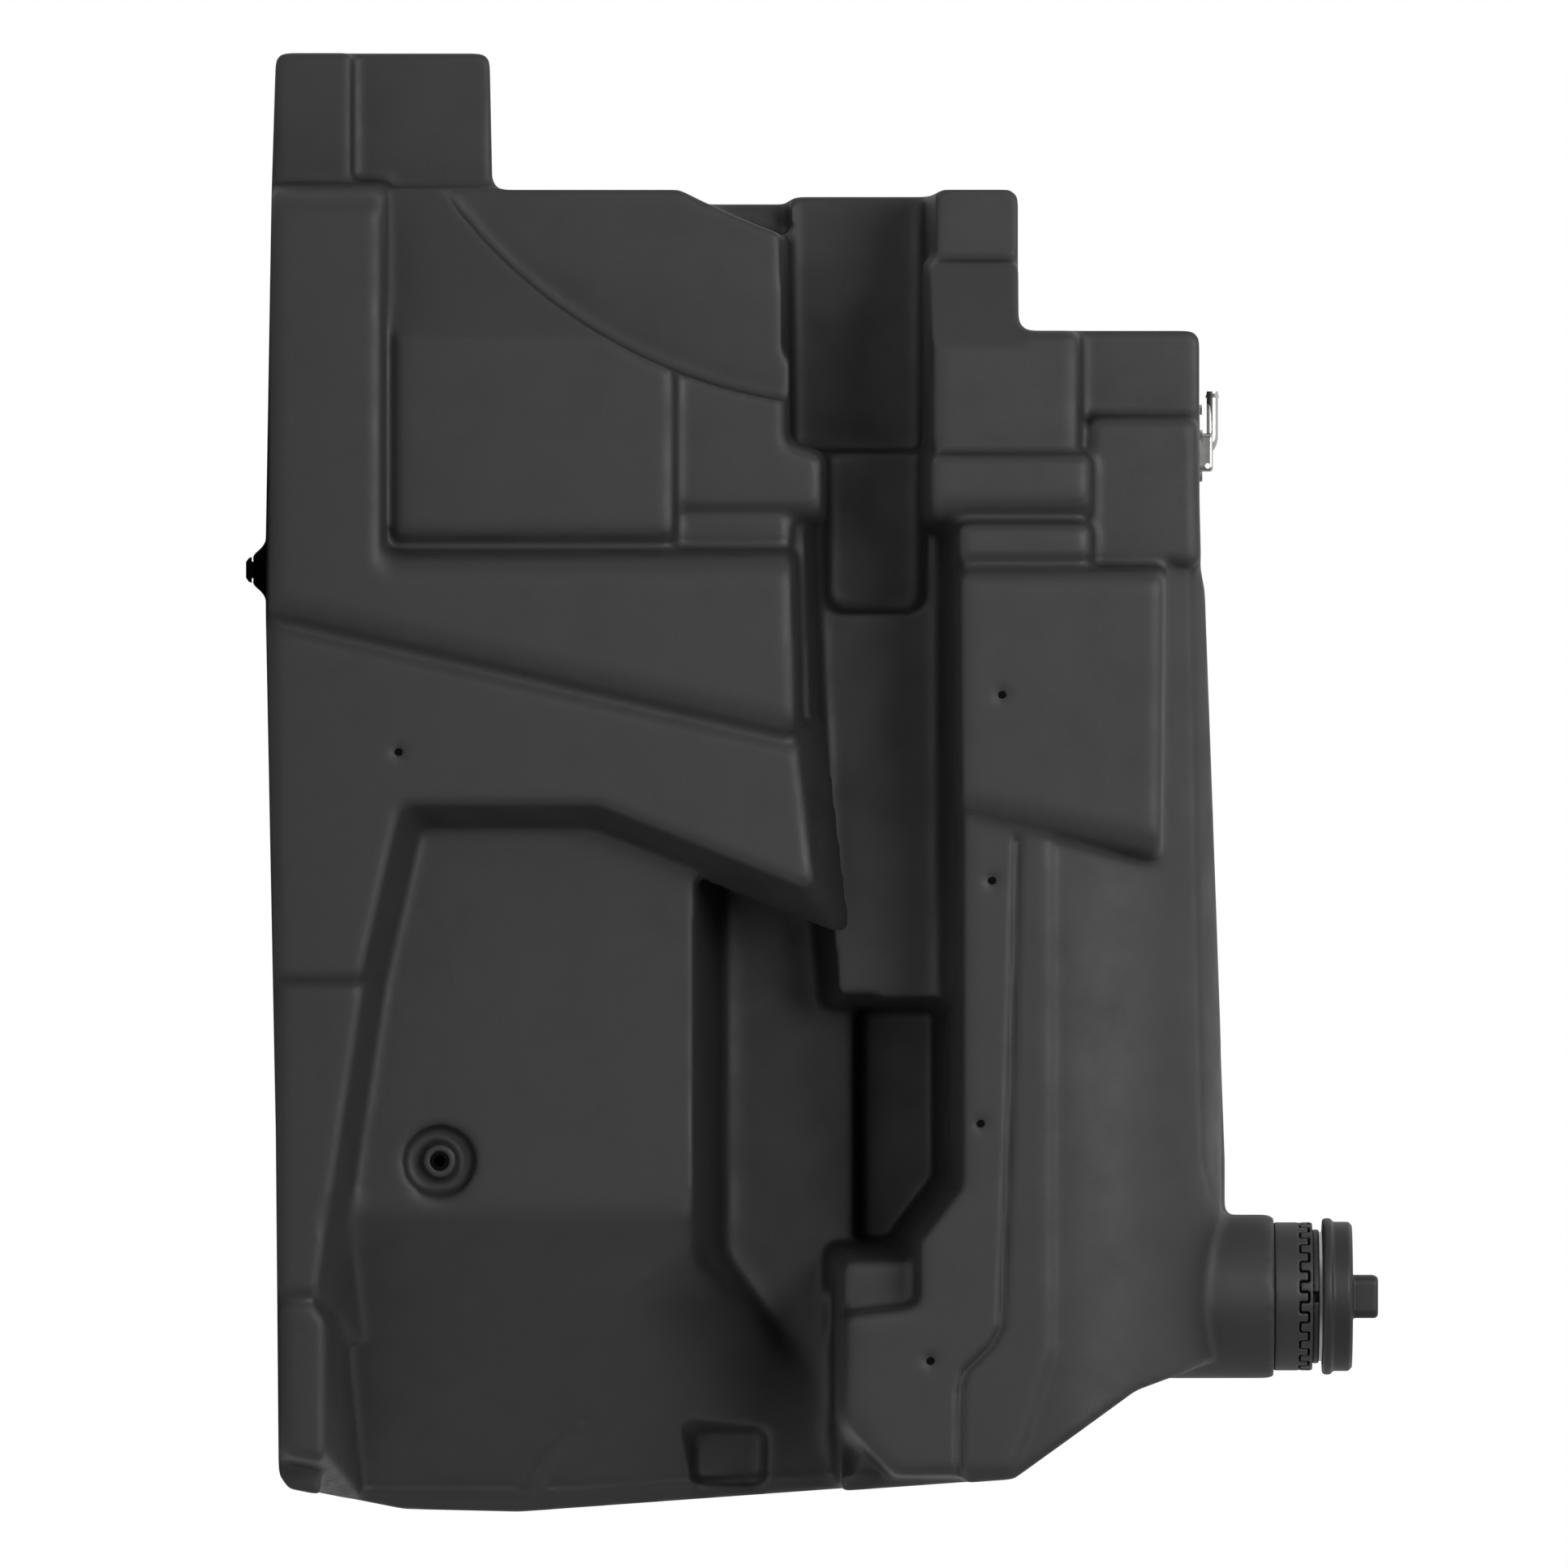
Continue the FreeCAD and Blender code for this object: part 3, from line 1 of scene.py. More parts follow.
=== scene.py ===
# %% [markdown]
# A moulded fuel tank. The imported CAD model is the frame of this scene: every size and
# place comes from it. This lesson dresses that frame as the real tank looks: a matte
# black plastic moulding with soft edges, a filler neck with its cap, and a bright sender.
#
# The first step loads the frame, with a helper that reads the box of any of its parts.

import json
import math

import bmesh
import bpy
import numpy as np
from mathutils import Matrix, Vector


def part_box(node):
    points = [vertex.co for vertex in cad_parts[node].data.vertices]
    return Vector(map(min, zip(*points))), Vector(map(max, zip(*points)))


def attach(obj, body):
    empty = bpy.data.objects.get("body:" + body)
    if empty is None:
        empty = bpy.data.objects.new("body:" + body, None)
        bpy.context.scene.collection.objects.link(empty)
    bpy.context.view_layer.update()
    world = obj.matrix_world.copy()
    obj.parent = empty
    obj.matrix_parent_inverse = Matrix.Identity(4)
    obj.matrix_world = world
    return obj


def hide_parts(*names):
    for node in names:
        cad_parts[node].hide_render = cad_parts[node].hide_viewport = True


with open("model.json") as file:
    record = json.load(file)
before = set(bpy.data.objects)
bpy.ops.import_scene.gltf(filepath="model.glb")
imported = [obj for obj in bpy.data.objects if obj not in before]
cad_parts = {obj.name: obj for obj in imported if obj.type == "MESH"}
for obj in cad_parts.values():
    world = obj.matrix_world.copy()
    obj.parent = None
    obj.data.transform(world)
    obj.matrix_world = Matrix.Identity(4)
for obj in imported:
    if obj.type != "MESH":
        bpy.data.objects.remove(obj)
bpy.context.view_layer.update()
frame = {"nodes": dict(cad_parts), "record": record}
nodes = frame["nodes"]

# %% [markdown]
# The picture shows the tank lying on its side, seen straight at its stepped front and
# from far away: up in the tank's own frame points to the right of the picture. A long
# lens a long way off gives that flat view. The camera's right is +Z and its up is -X. It
# stands level with the floor, which it then sees exactly edge on, and is turned by the
# half degree that brings the tank to the middle.

# %% Camera
PICTURE_WIDTH = 1.1012  # metres of the tank's plane that the picture spans
PICTURE_MIDDLE = Vector((0.0, 0.0, 0.3779))
LENS = 1300.0  # millimetres
SENSOR = 36.0  # millimetres
camera_data = bpy.data.cameras.new("camera")
camera_data.sensor_width = SENSOR
camera_data.lens = LENS
distance = PICTURE_WIDTH * LENS / SENSOR
camera_data.clip_start = 1.0
camera_data.clip_end = distance * 4
camera = bpy.data.objects.new("camera", camera_data)
bpy.context.scene.collection.objects.link(camera)
stand = Vector((PICTURE_MIDDLE.x, PICTURE_MIDDLE.y - distance, 0.0))
back = (stand - PICTURE_MIDDLE).normalized()
up = Vector((-1, 0, 0))
right = up.cross(back)
camera.matrix_world = Matrix((
    (right.x, up.x, back.x, stand.x),
    (right.y, up.y, back.y, stand.y),
    (right.z, up.z, back.z, stand.z),
    (0, 0, 0, 1)))
bpy.context.scene.camera = camera
print("camera", round(distance, 1), "m away")

# %% [markdown]
# Black plastic is seen by what it reflects more than by its own colour, so the room
# matters. It is bright above, a little dimmer on the side of the filler neck, and nearly
# dark right in front, so that little light reaches the floors of the deep pockets while
# the rounded edges catch the bright sides. The world gives all that with three gradients
# on the direction of each ray. Camera rays see plain white, and reflections see some of
# it. The stronger of two soft lamps stands in front and above, so that the steps shade the
# pockets beside them, and a faint one picks out the edges that look up.

# %% World, lamps and floor
scene = bpy.context.scene
scene.view_settings.view_transform = "Standard"
world = bpy.data.worlds.new("studio")
scene.world = world
world.use_nodes = True
tree = world.node_tree
tree.nodes.clear()
output = tree.nodes.new("ShaderNodeOutputWorld")
room = tree.nodes.new("ShaderNodeBackground")
white = tree.nodes.new("ShaderNodeBackground")
chooser = tree.nodes.new("ShaderNodeMixShader")
path = tree.nodes.new("ShaderNodeLightPath")
place = tree.nodes.new("ShaderNodeTexCoord")
split = tree.nodes.new("ShaderNodeSeparateXYZ")


def gradient(axis, near, far, at_near, at_far):
    """Strength that runs from at_near to at_far as a ray's direction goes from near to far."""
    ramp = tree.nodes.new("ShaderNodeMapRange")
    ramp.interpolation_type = "SMOOTHSTEP"
    ramp.inputs["From Min"].default_value = near
    ramp.inputs["From Max"].default_value = far
    ramp.inputs["To Min"].default_value = at_near
    ramp.inputs["To Max"].default_value = at_far
    tree.links.new(split.outputs[axis], ramp.inputs["Value"])
    return ramp.outputs[0]


def times(first, second):
    """Product of two strengths, each a number or a node's output."""
    product = tree.nodes.new("ShaderNodeMath")
    product.operation = "MULTIPLY"
    for socket, source in zip(product.inputs, (first, second)):
        if isinstance(source, float):
            socket.default_value = source
        else:
            tree.links.new(source, socket)
    return product.outputs[0]


ROOM_LEVEL = 0.9
WHITE_IN_REFLECTIONS = 0.12
tree.links.new(place.outputs["Generated"], split.inputs[0])
above = gradient("Z", -0.9, 0.9, 0.25, 1.7)
beside = gradient("X", -0.7, 0.8, 0.72, 0.5)
in_front = gradient("Y", -0.97, -0.2, 0.02, 1.0)
strength = times(times(times(above, beside), in_front), ROOM_LEVEL)
tree.links.new(strength, room.inputs["Strength"])
room.inputs["Color"].default_value = (1, 1, 1, 1)
white.inputs["Color"].default_value = (1, 1, 1, 1)
white.inputs["Strength"].default_value = 1.0
mirrored = tree.nodes.new("ShaderNodeMath")
mirrored.operation = "MAXIMUM"
tree.links.new(path.outputs["Is Glossy Ray"], mirrored.inputs[0])
tree.links.new(path.outputs["Is Transmission Ray"], mirrored.inputs[1])
seen = tree.nodes.new("ShaderNodeMath")
seen.operation = "MAXIMUM"
tree.links.new(path.outputs["Is Camera Ray"], seen.inputs[0])
tree.links.new(times(mirrored.outputs[0], WHITE_IN_REFLECTIONS), seen.inputs[1])
tree.links.new(seen.outputs[0], chooser.inputs[0])
tree.links.new(room.outputs[0], chooser.inputs[1])
tree.links.new(white.outputs[0], chooser.inputs[2])
tree.links.new(chooser.outputs[0], output.inputs["Surface"])


def area_lamp(name, spot, size, watts):
    """Round soft lamp at a spot that shines at the middle of the tank."""
    data = bpy.data.lights.new(name, "AREA")
    data.shape = "DISK"
    data.size = size
    data.energy = watts
    lamp = bpy.data.objects.new(name, data)
    scene.collection.objects.link(lamp)
    lamp.location = spot
    aim = (Vector(LAMP_TARGET) - Vector(spot)).to_track_quat("-Z", "Y")
    lamp.rotation_mode = "QUATERNION"
    lamp.rotation_quaternion = aim


LAMP_TARGET = (0, 0, 0.35)
area_lamp("side_lamp", (-0.5, -1.5, 2.6), 1.1, 12)
area_lamp("front_lamp", (-0.6, -2.9, 2.1), 1.4, 58)

FLOOR_HALF = 6.0
FLOOR_GLOW = 0.35
floor_mesh = bpy.data.meshes.new("floor")
floor_corners = [(-FLOOR_HALF, -FLOOR_HALF, 0), (FLOOR_HALF, -FLOOR_HALF, 0),
                 (FLOOR_HALF, FLOOR_HALF, 0), (-FLOOR_HALF, FLOOR_HALF, 0)]
floor_mesh.from_pydata(floor_corners, [], [(0, 1, 2, 3)])
floor = bpy.data.objects.new("floor", floor_mesh)
scene.collection.objects.link(floor)
floor_finish = bpy.data.materials.new("floor_finish")
floor_finish.use_nodes = True
floor_tree = floor_finish.node_tree
floor_base = floor_tree.nodes["Principled BSDF"]
floor_base.inputs["Base Color"].default_value = (0.84, 0.84, 0.84, 1)
floor_base.inputs["Roughness"].default_value = 0.9
floor_base.inputs["Specular IOR Level"].default_value = 0.1
floor_path = floor_tree.nodes.new("ShaderNodeLightPath")
floor_base.inputs["Emission Color"].default_value = (1, 1, 1, 1)
glow = floor_tree.nodes.new("ShaderNodeMath")
glow.operation = "MULTIPLY"
glow.inputs[1].default_value = FLOOR_GLOW
floor_tree.links.new(floor_path.outputs["Is Camera Ray"], glow.inputs[0])
floor_tree.links.new(glow.outputs[0], floor_base.inputs["Emission Strength"])
floor_mesh.materials.append(floor_finish)
print("room at level", ROOM_LEVEL, "with", len(bpy.data.lights), "lamps and a floor")

# %% [markdown]
# Two effects appear in nearly every finish here. One is the fine skin of a moulding, a
# soft grain that breaks the shine. The other is handling: edges rub paler and smoother.
# Each is a shader node group, built once, and every finish gives it its own numbers.

# %% Shader groups: skin grain and rubbed edges
def new_group(name, inputs, outputs):
    """Empty shader group with its sockets, and its input and output nodes."""
    group = bpy.data.node_groups.new(name, "ShaderNodeTree")
    for label, kind, start in inputs:
        socket = group.interface.new_socket(label, in_out="INPUT", socket_type=kind)
        socket.default_value = start
    for label, kind in outputs:
        group.interface.new_socket(label, in_out="OUTPUT", socket_type=kind)
    return group, group.nodes.new("NodeGroupInput"), group.nodes.new("NodeGroupOutput")


def make_skin_group():
    """Height of a fine grain on slow waves, and a slow mottle from 0 to 1."""
    group, given, result = new_group(
        "moulded_skin",
        [("Grain Size", "NodeSocketFloat", 900.0), ("Wave Size", "NodeSocketFloat", 30.0),
         ("Wave Share", "NodeSocketFloat", 0.5)],
        [("Height", "NodeSocketFloat"), ("Mottle", "NodeSocketFloat")])
    where = group.nodes.new("ShaderNodeTexCoord")
    grain = group.nodes.new("ShaderNodeTexNoise")
    waves = group.nodes.new("ShaderNodeTexNoise")
    grain.inputs["Detail"].default_value = 3.0
    waves.inputs["Detail"].default_value = 4.0
    mix = group.nodes.new("ShaderNodeMix")
    wire = group.links.new
    wire(where.outputs["Object"], grain.inputs["Vector"])
    wire(where.outputs["Object"], waves.inputs["Vector"])
    wire(given.outputs["Grain Size"], grain.inputs["Scale"])
    wire(given.outputs["Wave Size"], waves.inputs["Scale"])
    wire(given.outputs["Wave Share"], mix.inputs["Factor"])
    wire(grain.outputs["Fac"], mix.inputs["A"])
    wire(waves.outputs["Fac"], mix.inputs["B"])
    wire(mix.outputs["Result"], result.inputs["Height"])
    wire(waves.outputs["Fac"], result.inputs["Mottle"])
    return group


def make_edge_group():
    """Mask of the outward edges, broken up by noise."""
    group, given, result = new_group(
        "rubbed_edges",
        [("Start", "NodeSocketFloat", 0.53), ("End", "NodeSocketFloat", 0.62),
         ("Patch Size", "NodeSocketFloat", 60.0)],
        [("Mask", "NodeSocketFloat")])
    shape = group.nodes.new("ShaderNodeNewGeometry")
    ramp = group.nodes.new("ShaderNodeMapRange")
    where = group.nodes.new("ShaderNodeTexCoord")
    patches = group.nodes.new("ShaderNodeTexNoise")
    patches.inputs["Detail"].default_value = 3.0
    join = group.nodes.new("ShaderNodeMath")
    join.operation = "MULTIPLY"
    wire = group.links.new
    wire(shape.outputs["Pointiness"], ramp.inputs["Value"])
    wire(given.outputs["Start"], ramp.inputs["From Min"])
    wire(given.outputs["End"], ramp.inputs["From Max"])
    wire(where.outputs["Object"], patches.inputs["Vector"])
    wire(given.outputs["Patch Size"], patches.inputs["Scale"])
    wire(ramp.outputs[0], join.inputs[0])
    wire(patches.outputs["Fac"], join.inputs[1])
    wire(join.outputs[0], result.inputs["Mask"])
    return group


SKIN = make_skin_group()
EDGES = make_edge_group()
print("shader groups:", SKIN.name, EDGES.name)

# %% [markdown]
# A finish is a Principled shader with three things driven by those groups: its colour
# goes from a base to a rubbed tone, its roughness varies with the mottle, and its bump
# comes from the grain. Plastic, rubber, foam and metal differ only in their numbers. Every
# CAD node then gets the finish that its slot names.

# %% Finishes
def finish(name, base, rubbed, rough, rough_range, metal=0.0, grain=900.0, bump=0.2,
           depth=0.0004, specular=0.5):
    """Principled material from two tones, a roughness and the sizes of its grain."""
    material = bpy.data.materials.new(name)
    material.use_nodes = True
    tree = material.node_tree
    shader = tree.nodes["Principled BSDF"]
    shader.inputs["Metallic"].default_value = metal
    shader.inputs["Specular IOR Level"].default_value = specular
    skin = tree.nodes.new("ShaderNodeGroup")
    skin.node_tree = SKIN
    skin.inputs["Grain Size"].default_value = grain
    edges = tree.nodes.new("ShaderNodeGroup")
    edges.node_tree = EDGES
    tone = tree.nodes.new("ShaderNodeMix")
    tone.data_type = "RGBA"
    tone.inputs["A"].default_value = (*base, 1)
    tone.inputs["B"].default_value = (*rubbed, 1)
    rough_map = tree.nodes.new("ShaderNodeMapRange")
    rough_map.inputs["From Min"].default_value = 0.3
    rough_map.inputs["From Max"].default_value = 0.7
    rough_map.inputs["To Min"].default_value = rough - rough_range
    rough_map.inputs["To Max"].default_value = rough + rough_range
    relief = tree.nodes.new("ShaderNodeBump")
    relief.inputs["Strength"].default_value = bump
    relief.inputs["Distance"].default_value = depth
    wire = tree.links.new
    wire(edges.outputs["Mask"], tone.inputs["Factor"])
    wire(tone.outputs["Result"], shader.inputs["Base Color"])
    wire(skin.outputs["Mottle"], rough_map.inputs["Value"])
    wire(rough_map.outputs[0], shader.inputs["Roughness"])
    wire(skin.outputs["Height"], relief.inputs["Height"])
    wire(relief.outputs["Normal"], shader.inputs["Normal"])
    return material


tank_black = finish("tank_black", (0.013, 0.013, 0.0132), (0.03, 0.03, 0.031), 0.58, 0.06,
                    bump=0.35)
cap_black = finish("cap_black", (0.012, 0.012, 0.0122), (0.03, 0.03, 0.031), 0.48, 0.05,
                   grain=2500, bump=0.25, specular=0.38)
sleeve_black = finish("sleeve_black", (0.015, 0.015, 0.0152), (0.035, 0.035, 0.036), 0.5, 0.05,
                      grain=2500, bump=0.2)
seal_rubber = finish("seal_rubber", (0.012, 0.012, 0.012), (0.02, 0.02, 0.02), 0.8, 0.06,
                     grain=3000, bump=0.3)
bright_plate = finish("bright_plate", (0.42, 0.415, 0.4), (0.56, 0.555, 0.54), 0.2, 0.02,
                      metal=1.0, grain=4000, bump=0.01, depth=0.0001)
plain_steel = finish("plain_steel", (0.5, 0.5, 0.49), (0.65, 0.65, 0.64), 0.36, 0.06,
                     metal=1.0, grain=3000, bump=0.08, depth=0.0001)
insert_brass = finish("insert_brass", (0.52, 0.36, 0.14), (0.72, 0.55, 0.28), 0.32, 0.05,
                      metal=1.0, grain=3000, bump=0.06, depth=0.0001)
# painted shade: a near-black, almost unreflective finish that stands for the shadow inside the bores
bore_painted_shade = finish("bore_painted_shade", (0.002, 0.002, 0.002), (0.004, 0.004, 0.004), 0.85, 0.05,
                    grain=3000, specular=0.04)
float_foam = finish("float_foam", (0.02, 0.02, 0.02), (0.03, 0.03, 0.03), 0.85, 0.05,
                    grain=1500, bump=0.7)
strainer_mesh = finish("strainer_mesh", (0.62, 0.62, 0.56), (0.75, 0.75, 0.7), 0.6, 0.05,
                       grain=1800, bump=0.8)
FINISH_OF = {
    "shell": tank_black, "sleeve": sleeve_black, "cap": cap_black, "seal": seal_rubber,
    "bright": bright_plate, "steel": plain_steel, "brass": insert_brass,
    "float_foam": float_foam, "mesh": strainer_mesh,
}
slot_of = {row["node"]: row["material_slot"] for row in frame["record"]["subparts"]}
for name, node in nodes.items():
    node.data.materials.clear()
    node.data.materials.append(FINISH_OF[slot_of[name]])
print(len(bpy.data.materials), "materials on", len(nodes), "nodes")

# %% [markdown]
# The tank is moulded by tumbling powder in a hot mould, which leaves every edge round
# and every inside corner full. The CAD shell has the right steps with crisp seams
# between them. A copy is remeshed to small even faces and smoothed a little, which rounds
# outside and inside corners alike, and then thinned where it is flat. The same helpers
# later round the cap and the neck, with a finer size.

# %% Helpers that round a copy of a CAD piece
MERGE = 0.00001  # metres; CAD meshes repeat the corners that faces share


def plain_copy(node_name, name):
    """Merged copy of a CAD node's mesh as an object of its own."""
    mesh = nodes[node_name].data.copy()
    mesh.name = name
    piece = bpy.data.objects.new(name, mesh)
    scene.collection.objects.link(piece)
    work = bmesh.new()
    work.from_mesh(mesh)
    bmesh.ops.remove_doubles(work, verts=work.verts, dist=MERGE)
    work.to_mesh(mesh)
    work.free()
    return piece


def settled(piece):
    """The piece with its modifiers made permanent."""
    seen = piece.evaluated_get(bpy.context.evaluated_depsgraph_get())
    mesh = bpy.data.meshes.new_from_object(seen)
    piece.modifiers.clear()
    piece.data = mesh
    mesh.name = piece.name
    return piece


def even_faces(piece, size, rounds):
    """Rebuild a piece with small faces of one size and smooth it a few rounds."""
    remesh = piece.modifiers.new("even_faces", "REMESH")
    remesh.mode = "VOXEL"
    remesh.voxel_size = size
    soften = piece.modifiers.new("soften", "SMOOTH")
    soften.factor = 0.5
    soften.iterations = rounds
    return settled(piece)


def thinned(piece, most):
    """Leave a piece at most so many triangles, fewest where it is flat, and shade it smooth."""
    triangles = 2 * len(piece.data.polygons)
    if triangles > most:
        thin = piece.modifiers.new("thin", "DECIMATE")
        thin.ratio = most / triangles
        settled(piece)
    piece.data.polygons.foreach_set("use_smooth", [True] * len(piece.data.polygons))


def hand_over(piece, material, body, replaced):
    """Give a finished piece its material, its body and the node it stands for."""
    piece.data.materials.clear()
    piece.data.materials.append(material)
    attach(piece, body)
    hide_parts(replaced)
    print(piece.name, len(piece.data.polygons), "faces")


print("remesh, smoothing, thinning and handing over are ready")

# %% [markdown]
# Some forms of the moulding are slight: a line pressed in beside the neck's shoulder, a
# ledge along the roof, a gusset and a lip at the foot, and a dimple round each bush. They
# are pushed into the small faces along a path, by an amount that falls off to both sides.
# Where the sloping end meets the deep notch, the real surface flows without an edge. There
# every face is pushed back at least to a smooth surface between the two, and the edges
# near it are smoothed many rounds. Places are X and Z in metres.

# %% Helpers for the slight forms
PRESSED_LINE = [(0.039, 0.540), (0.250, 0.534), (0.380, 0.529), (0.394, 0.521), (0.412, 0.503),
                (0.426, 0.500), (0.487, 0.499)]
ROOF_LEDGE = [(-0.149, 0.6615), (0.120, 0.6665), (0.265, 0.670), (0.288, 0.676), (0.296, 0.687)]
GUSSET = [(0.492, 0.204), (0.474, 0.212), (0.455, 0.234)]
FOOT_LIP = [(0.497, 0.072), (0.4975, 0.226), (0.4895, 0.340), (0.484, 0.440)]
# path, half width, and height ahead of the surface or, if negative, depth behind it
PRESSED = [
    (PRESSED_LINE, 0.0024, -0.0048),
    (ROOF_LEDGE, 0.0022, -0.0030),
    (GUSSET, 0.0075, 0.0080),
    (FOOT_LIP, 0.0028, 0.0026),
]
REACH_BACK = 0.120  # only faces in front of this Y are pressed
DIMPLE_WIDTH, DIMPLE_DEPTH = 0.005, 0.0022
# path and the distance from it at which the extra smoothing ends
SOFT_PLACES = [
    ([(0.100, 0.335), (0.330, 0.335)], 0.022),
    ([(0.330, 0.334), (0.446, 0.414), (0.410, 0.425)], 0.030),
    ([(0.306, 0.070), (0.306, 0.330)], 0.022),
]
# the slope goes back from the panel at its start to the notch's floor at its end, along X
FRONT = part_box("tank_shell")[0][1]
SLOPE_START, SLOPE_END, SLOPE_EASE = 0.304, 0.495, 0.060
PANEL_DEPTH, NOTCH_DEPTH = 0.060, 0.200
# and from its own depth to the notch's along Z, inside these limits
BLEND_START, BLEND_RUN = 0.245, 0.170
BLEND_X = (SLOPE_START, 0.492)
BLEND_Z = (0.240, 0.4135)


def distance_to(path, places):
    """Distance of many places, in X and Z, from a path of straight runs."""
    nearest = np.full(len(places), 1e9)
    for start, end in zip(path[:-1], path[1:]):
        start = np.array(start)
        along = np.array(end) - start
        share = np.clip(((places - start) @ along) / (along @ along), 0.0, 1.0)
        away = np.linalg.norm(places - start - share[:, None] * along, axis=1)
        nearest = np.minimum(nearest, away)
    return nearest


def press(piece, path, width, height):
    """Raise or, with a negative height, sink what faces forward along a path."""
    mesh = piece.data
    count = len(mesh.vertices)
    spots = np.empty(count * 3)
    mesh.vertices.foreach_get("co", spots)
    spots = spots.reshape(-1, 3)
    facing = np.empty(count * 3)
    mesh.vertices.foreach_get("normal", facing)
    facing = facing.reshape(-1, 3)
    near = distance_to(path, spots[:, [0, 2]])
    ahead = np.clip(-facing[:, 1], 0, 1) * (spots[:, 1] < REACH_BACK)
    spots[:, 1] -= height * np.exp(-(near / width) ** 2) * ahead
    mesh.vertices.foreach_set("co", spots.ravel())
    mesh.update()


def eased(amount):
    """Share from 0 to 1 that starts and ends gently."""
    amount = np.clip(amount, 0.0, 1.0)
    return amount * amount * (3 - 2 * amount)


def blend_slope(piece):
    """Let the sloping end run into the deep notch without a wall between them."""
    count = len(piece.data.vertices)
    spots = np.empty(count * 3)
    piece.data.vertices.foreach_get("co", spots)
    spots = spots.reshape(-1, 3)
    along, across = spots[:, 0], spots[:, 2]
    slope = (along - SLOPE_START) / (SLOPE_END - SLOPE_START)
    ramp = PANEL_DEPTH + (NOTCH_DEPTH - PANEL_DEPTH) * slope
    flowing = ramp + (NOTCH_DEPTH - ramp) * eased((across - BLEND_START) / BLEND_RUN)
    least = PANEL_DEPTH + (flowing - PANEL_DEPTH) * eased((along - SLOPE_START) / SLOPE_EASE)
    least = FRONT + least
    here = (along > BLEND_X[0]) & (along < BLEND_X[1])
    here &= (across > BLEND_Z[0]) & (across < BLEND_Z[1])
    spots[:, 1] = np.where(here & (spots[:, 1] < least), least, spots[:, 1])
    piece.data.vertices.foreach_set("co", spots.ravel())
    piece.data.update()


FALL = 1.6  # above 1, the smoothing is full for a part of the way from the path
LEVEL_STEP = 0.25


def flow(piece, places, rounds):
    """Smooth the faces near some paths much more than the rest."""
    spots = np.empty(len(piece.data.vertices) * 3)
    piece.data.vertices.foreach_get("co", spots)
    flat = spots.reshape(-1, 3)[:, [0, 2]]
    weight = np.zeros(len(flat))
    for path, radius in places:
        share = FALL * (1 - distance_to(path, flat) / radius)
        weight = np.maximum(weight, np.clip(share, 0, 1))
    group = piece.vertex_groups.new(name="flowing")
    for level in np.arange(LEVEL_STEP, 1.01, LEVEL_STEP):
        chosen = np.nonzero((weight > level - LEVEL_STEP) & (weight <= level))[0]
        group.add(chosen.tolist(), float(level), "REPLACE")
    ease = piece.modifiers.new("ease", "SMOOTH")
    ease.factor = 0.5
    ease.iterations = rounds
    ease.vertex_group = "flowing"
    settled(piece)
    piece.vertex_groups.clear()


def islands(node_name):
    """Lowest and highest corner of each separate solid in a CAD node."""
    work = bmesh.new()
    work.from_mesh(nodes[node_name].data)
    bmesh.ops.remove_doubles(work, verts=work.verts, dist=MERGE)
    left = set(work.verts)
    boxes = []
    while left:
        grown = {left.pop()}
        edge_of = list(grown)
        while edge_of:
            for edge in edge_of.pop().link_edges:
                for vertex in edge.verts:
                    if vertex in left:
                        left.discard(vertex)
                        grown.add(vertex)
                        edge_of.append(vertex)
        spots = np.array([tuple(vertex.co) for vertex in grown])
        boxes.append((spots.min(axis=0), spots.max(axis=0)))
    work.free()
    return sorted(boxes, key=lambda box: tuple(box[0]))


def add_plug(work, middle, radius, length, turn):
    """Put a closed round plug into a mesh that is being worked on."""
    place = Matrix.Translation(middle) @ turn
    bmesh.ops.create_cone(work, cap_ends=True, segments=48, radius1=radius, radius2=radius,
                          depth=length, matrix=place)


def with_plugs(piece, boxes, margin, openings):
    """The piece with its bush holes, along Y, and its openings, along Z, closed by plugs."""
    work = bmesh.new()
    work.from_mesh(piece.data)
    lying = Matrix.Rotation(math.radians(90), 4, "X")
    for low, high in boxes:
        middle = Vector((low + high) / 2) + Vector((0, margin, 0))
        add_plug(work, middle, (high[0] - low[0]) / 2 + margin, high[1] - low[1] + 2 * margin, lying)
    for node_name, radius, low, high in openings:
        edge_low, edge_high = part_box(node_name)
        middle = Vector(((edge_low[0] + edge_high[0]) / 2, (edge_low[1] + edge_high[1]) / 2,
                         (low + high) / 2))
        add_plug(work, middle, radius, high - low, Matrix.Identity(4))
    work.to_mesh(piece.data)
    work.free()
    return piece


print(len(SOFT_PLACES), "places to smooth,", len(PRESSED), "paths to press")

# %% [markdown]
# The moulding itself is made now. Its bush holes are filled, since plastic covers the
# bushes, and its openings for neck, sender and drain are closed deep inside. The closed
# shell is then remeshed as a whole; only its outer skin is ever seen. A first remesh only
# gives faces small enough to push, the second rounds.

# %% Tank moulding
VOXEL = 0.0027
ROUNDS = 5
FLOW_ROUNDS = 80
MOULDING_TRIANGLES = 190000
PLUG_MARGIN = 0.001
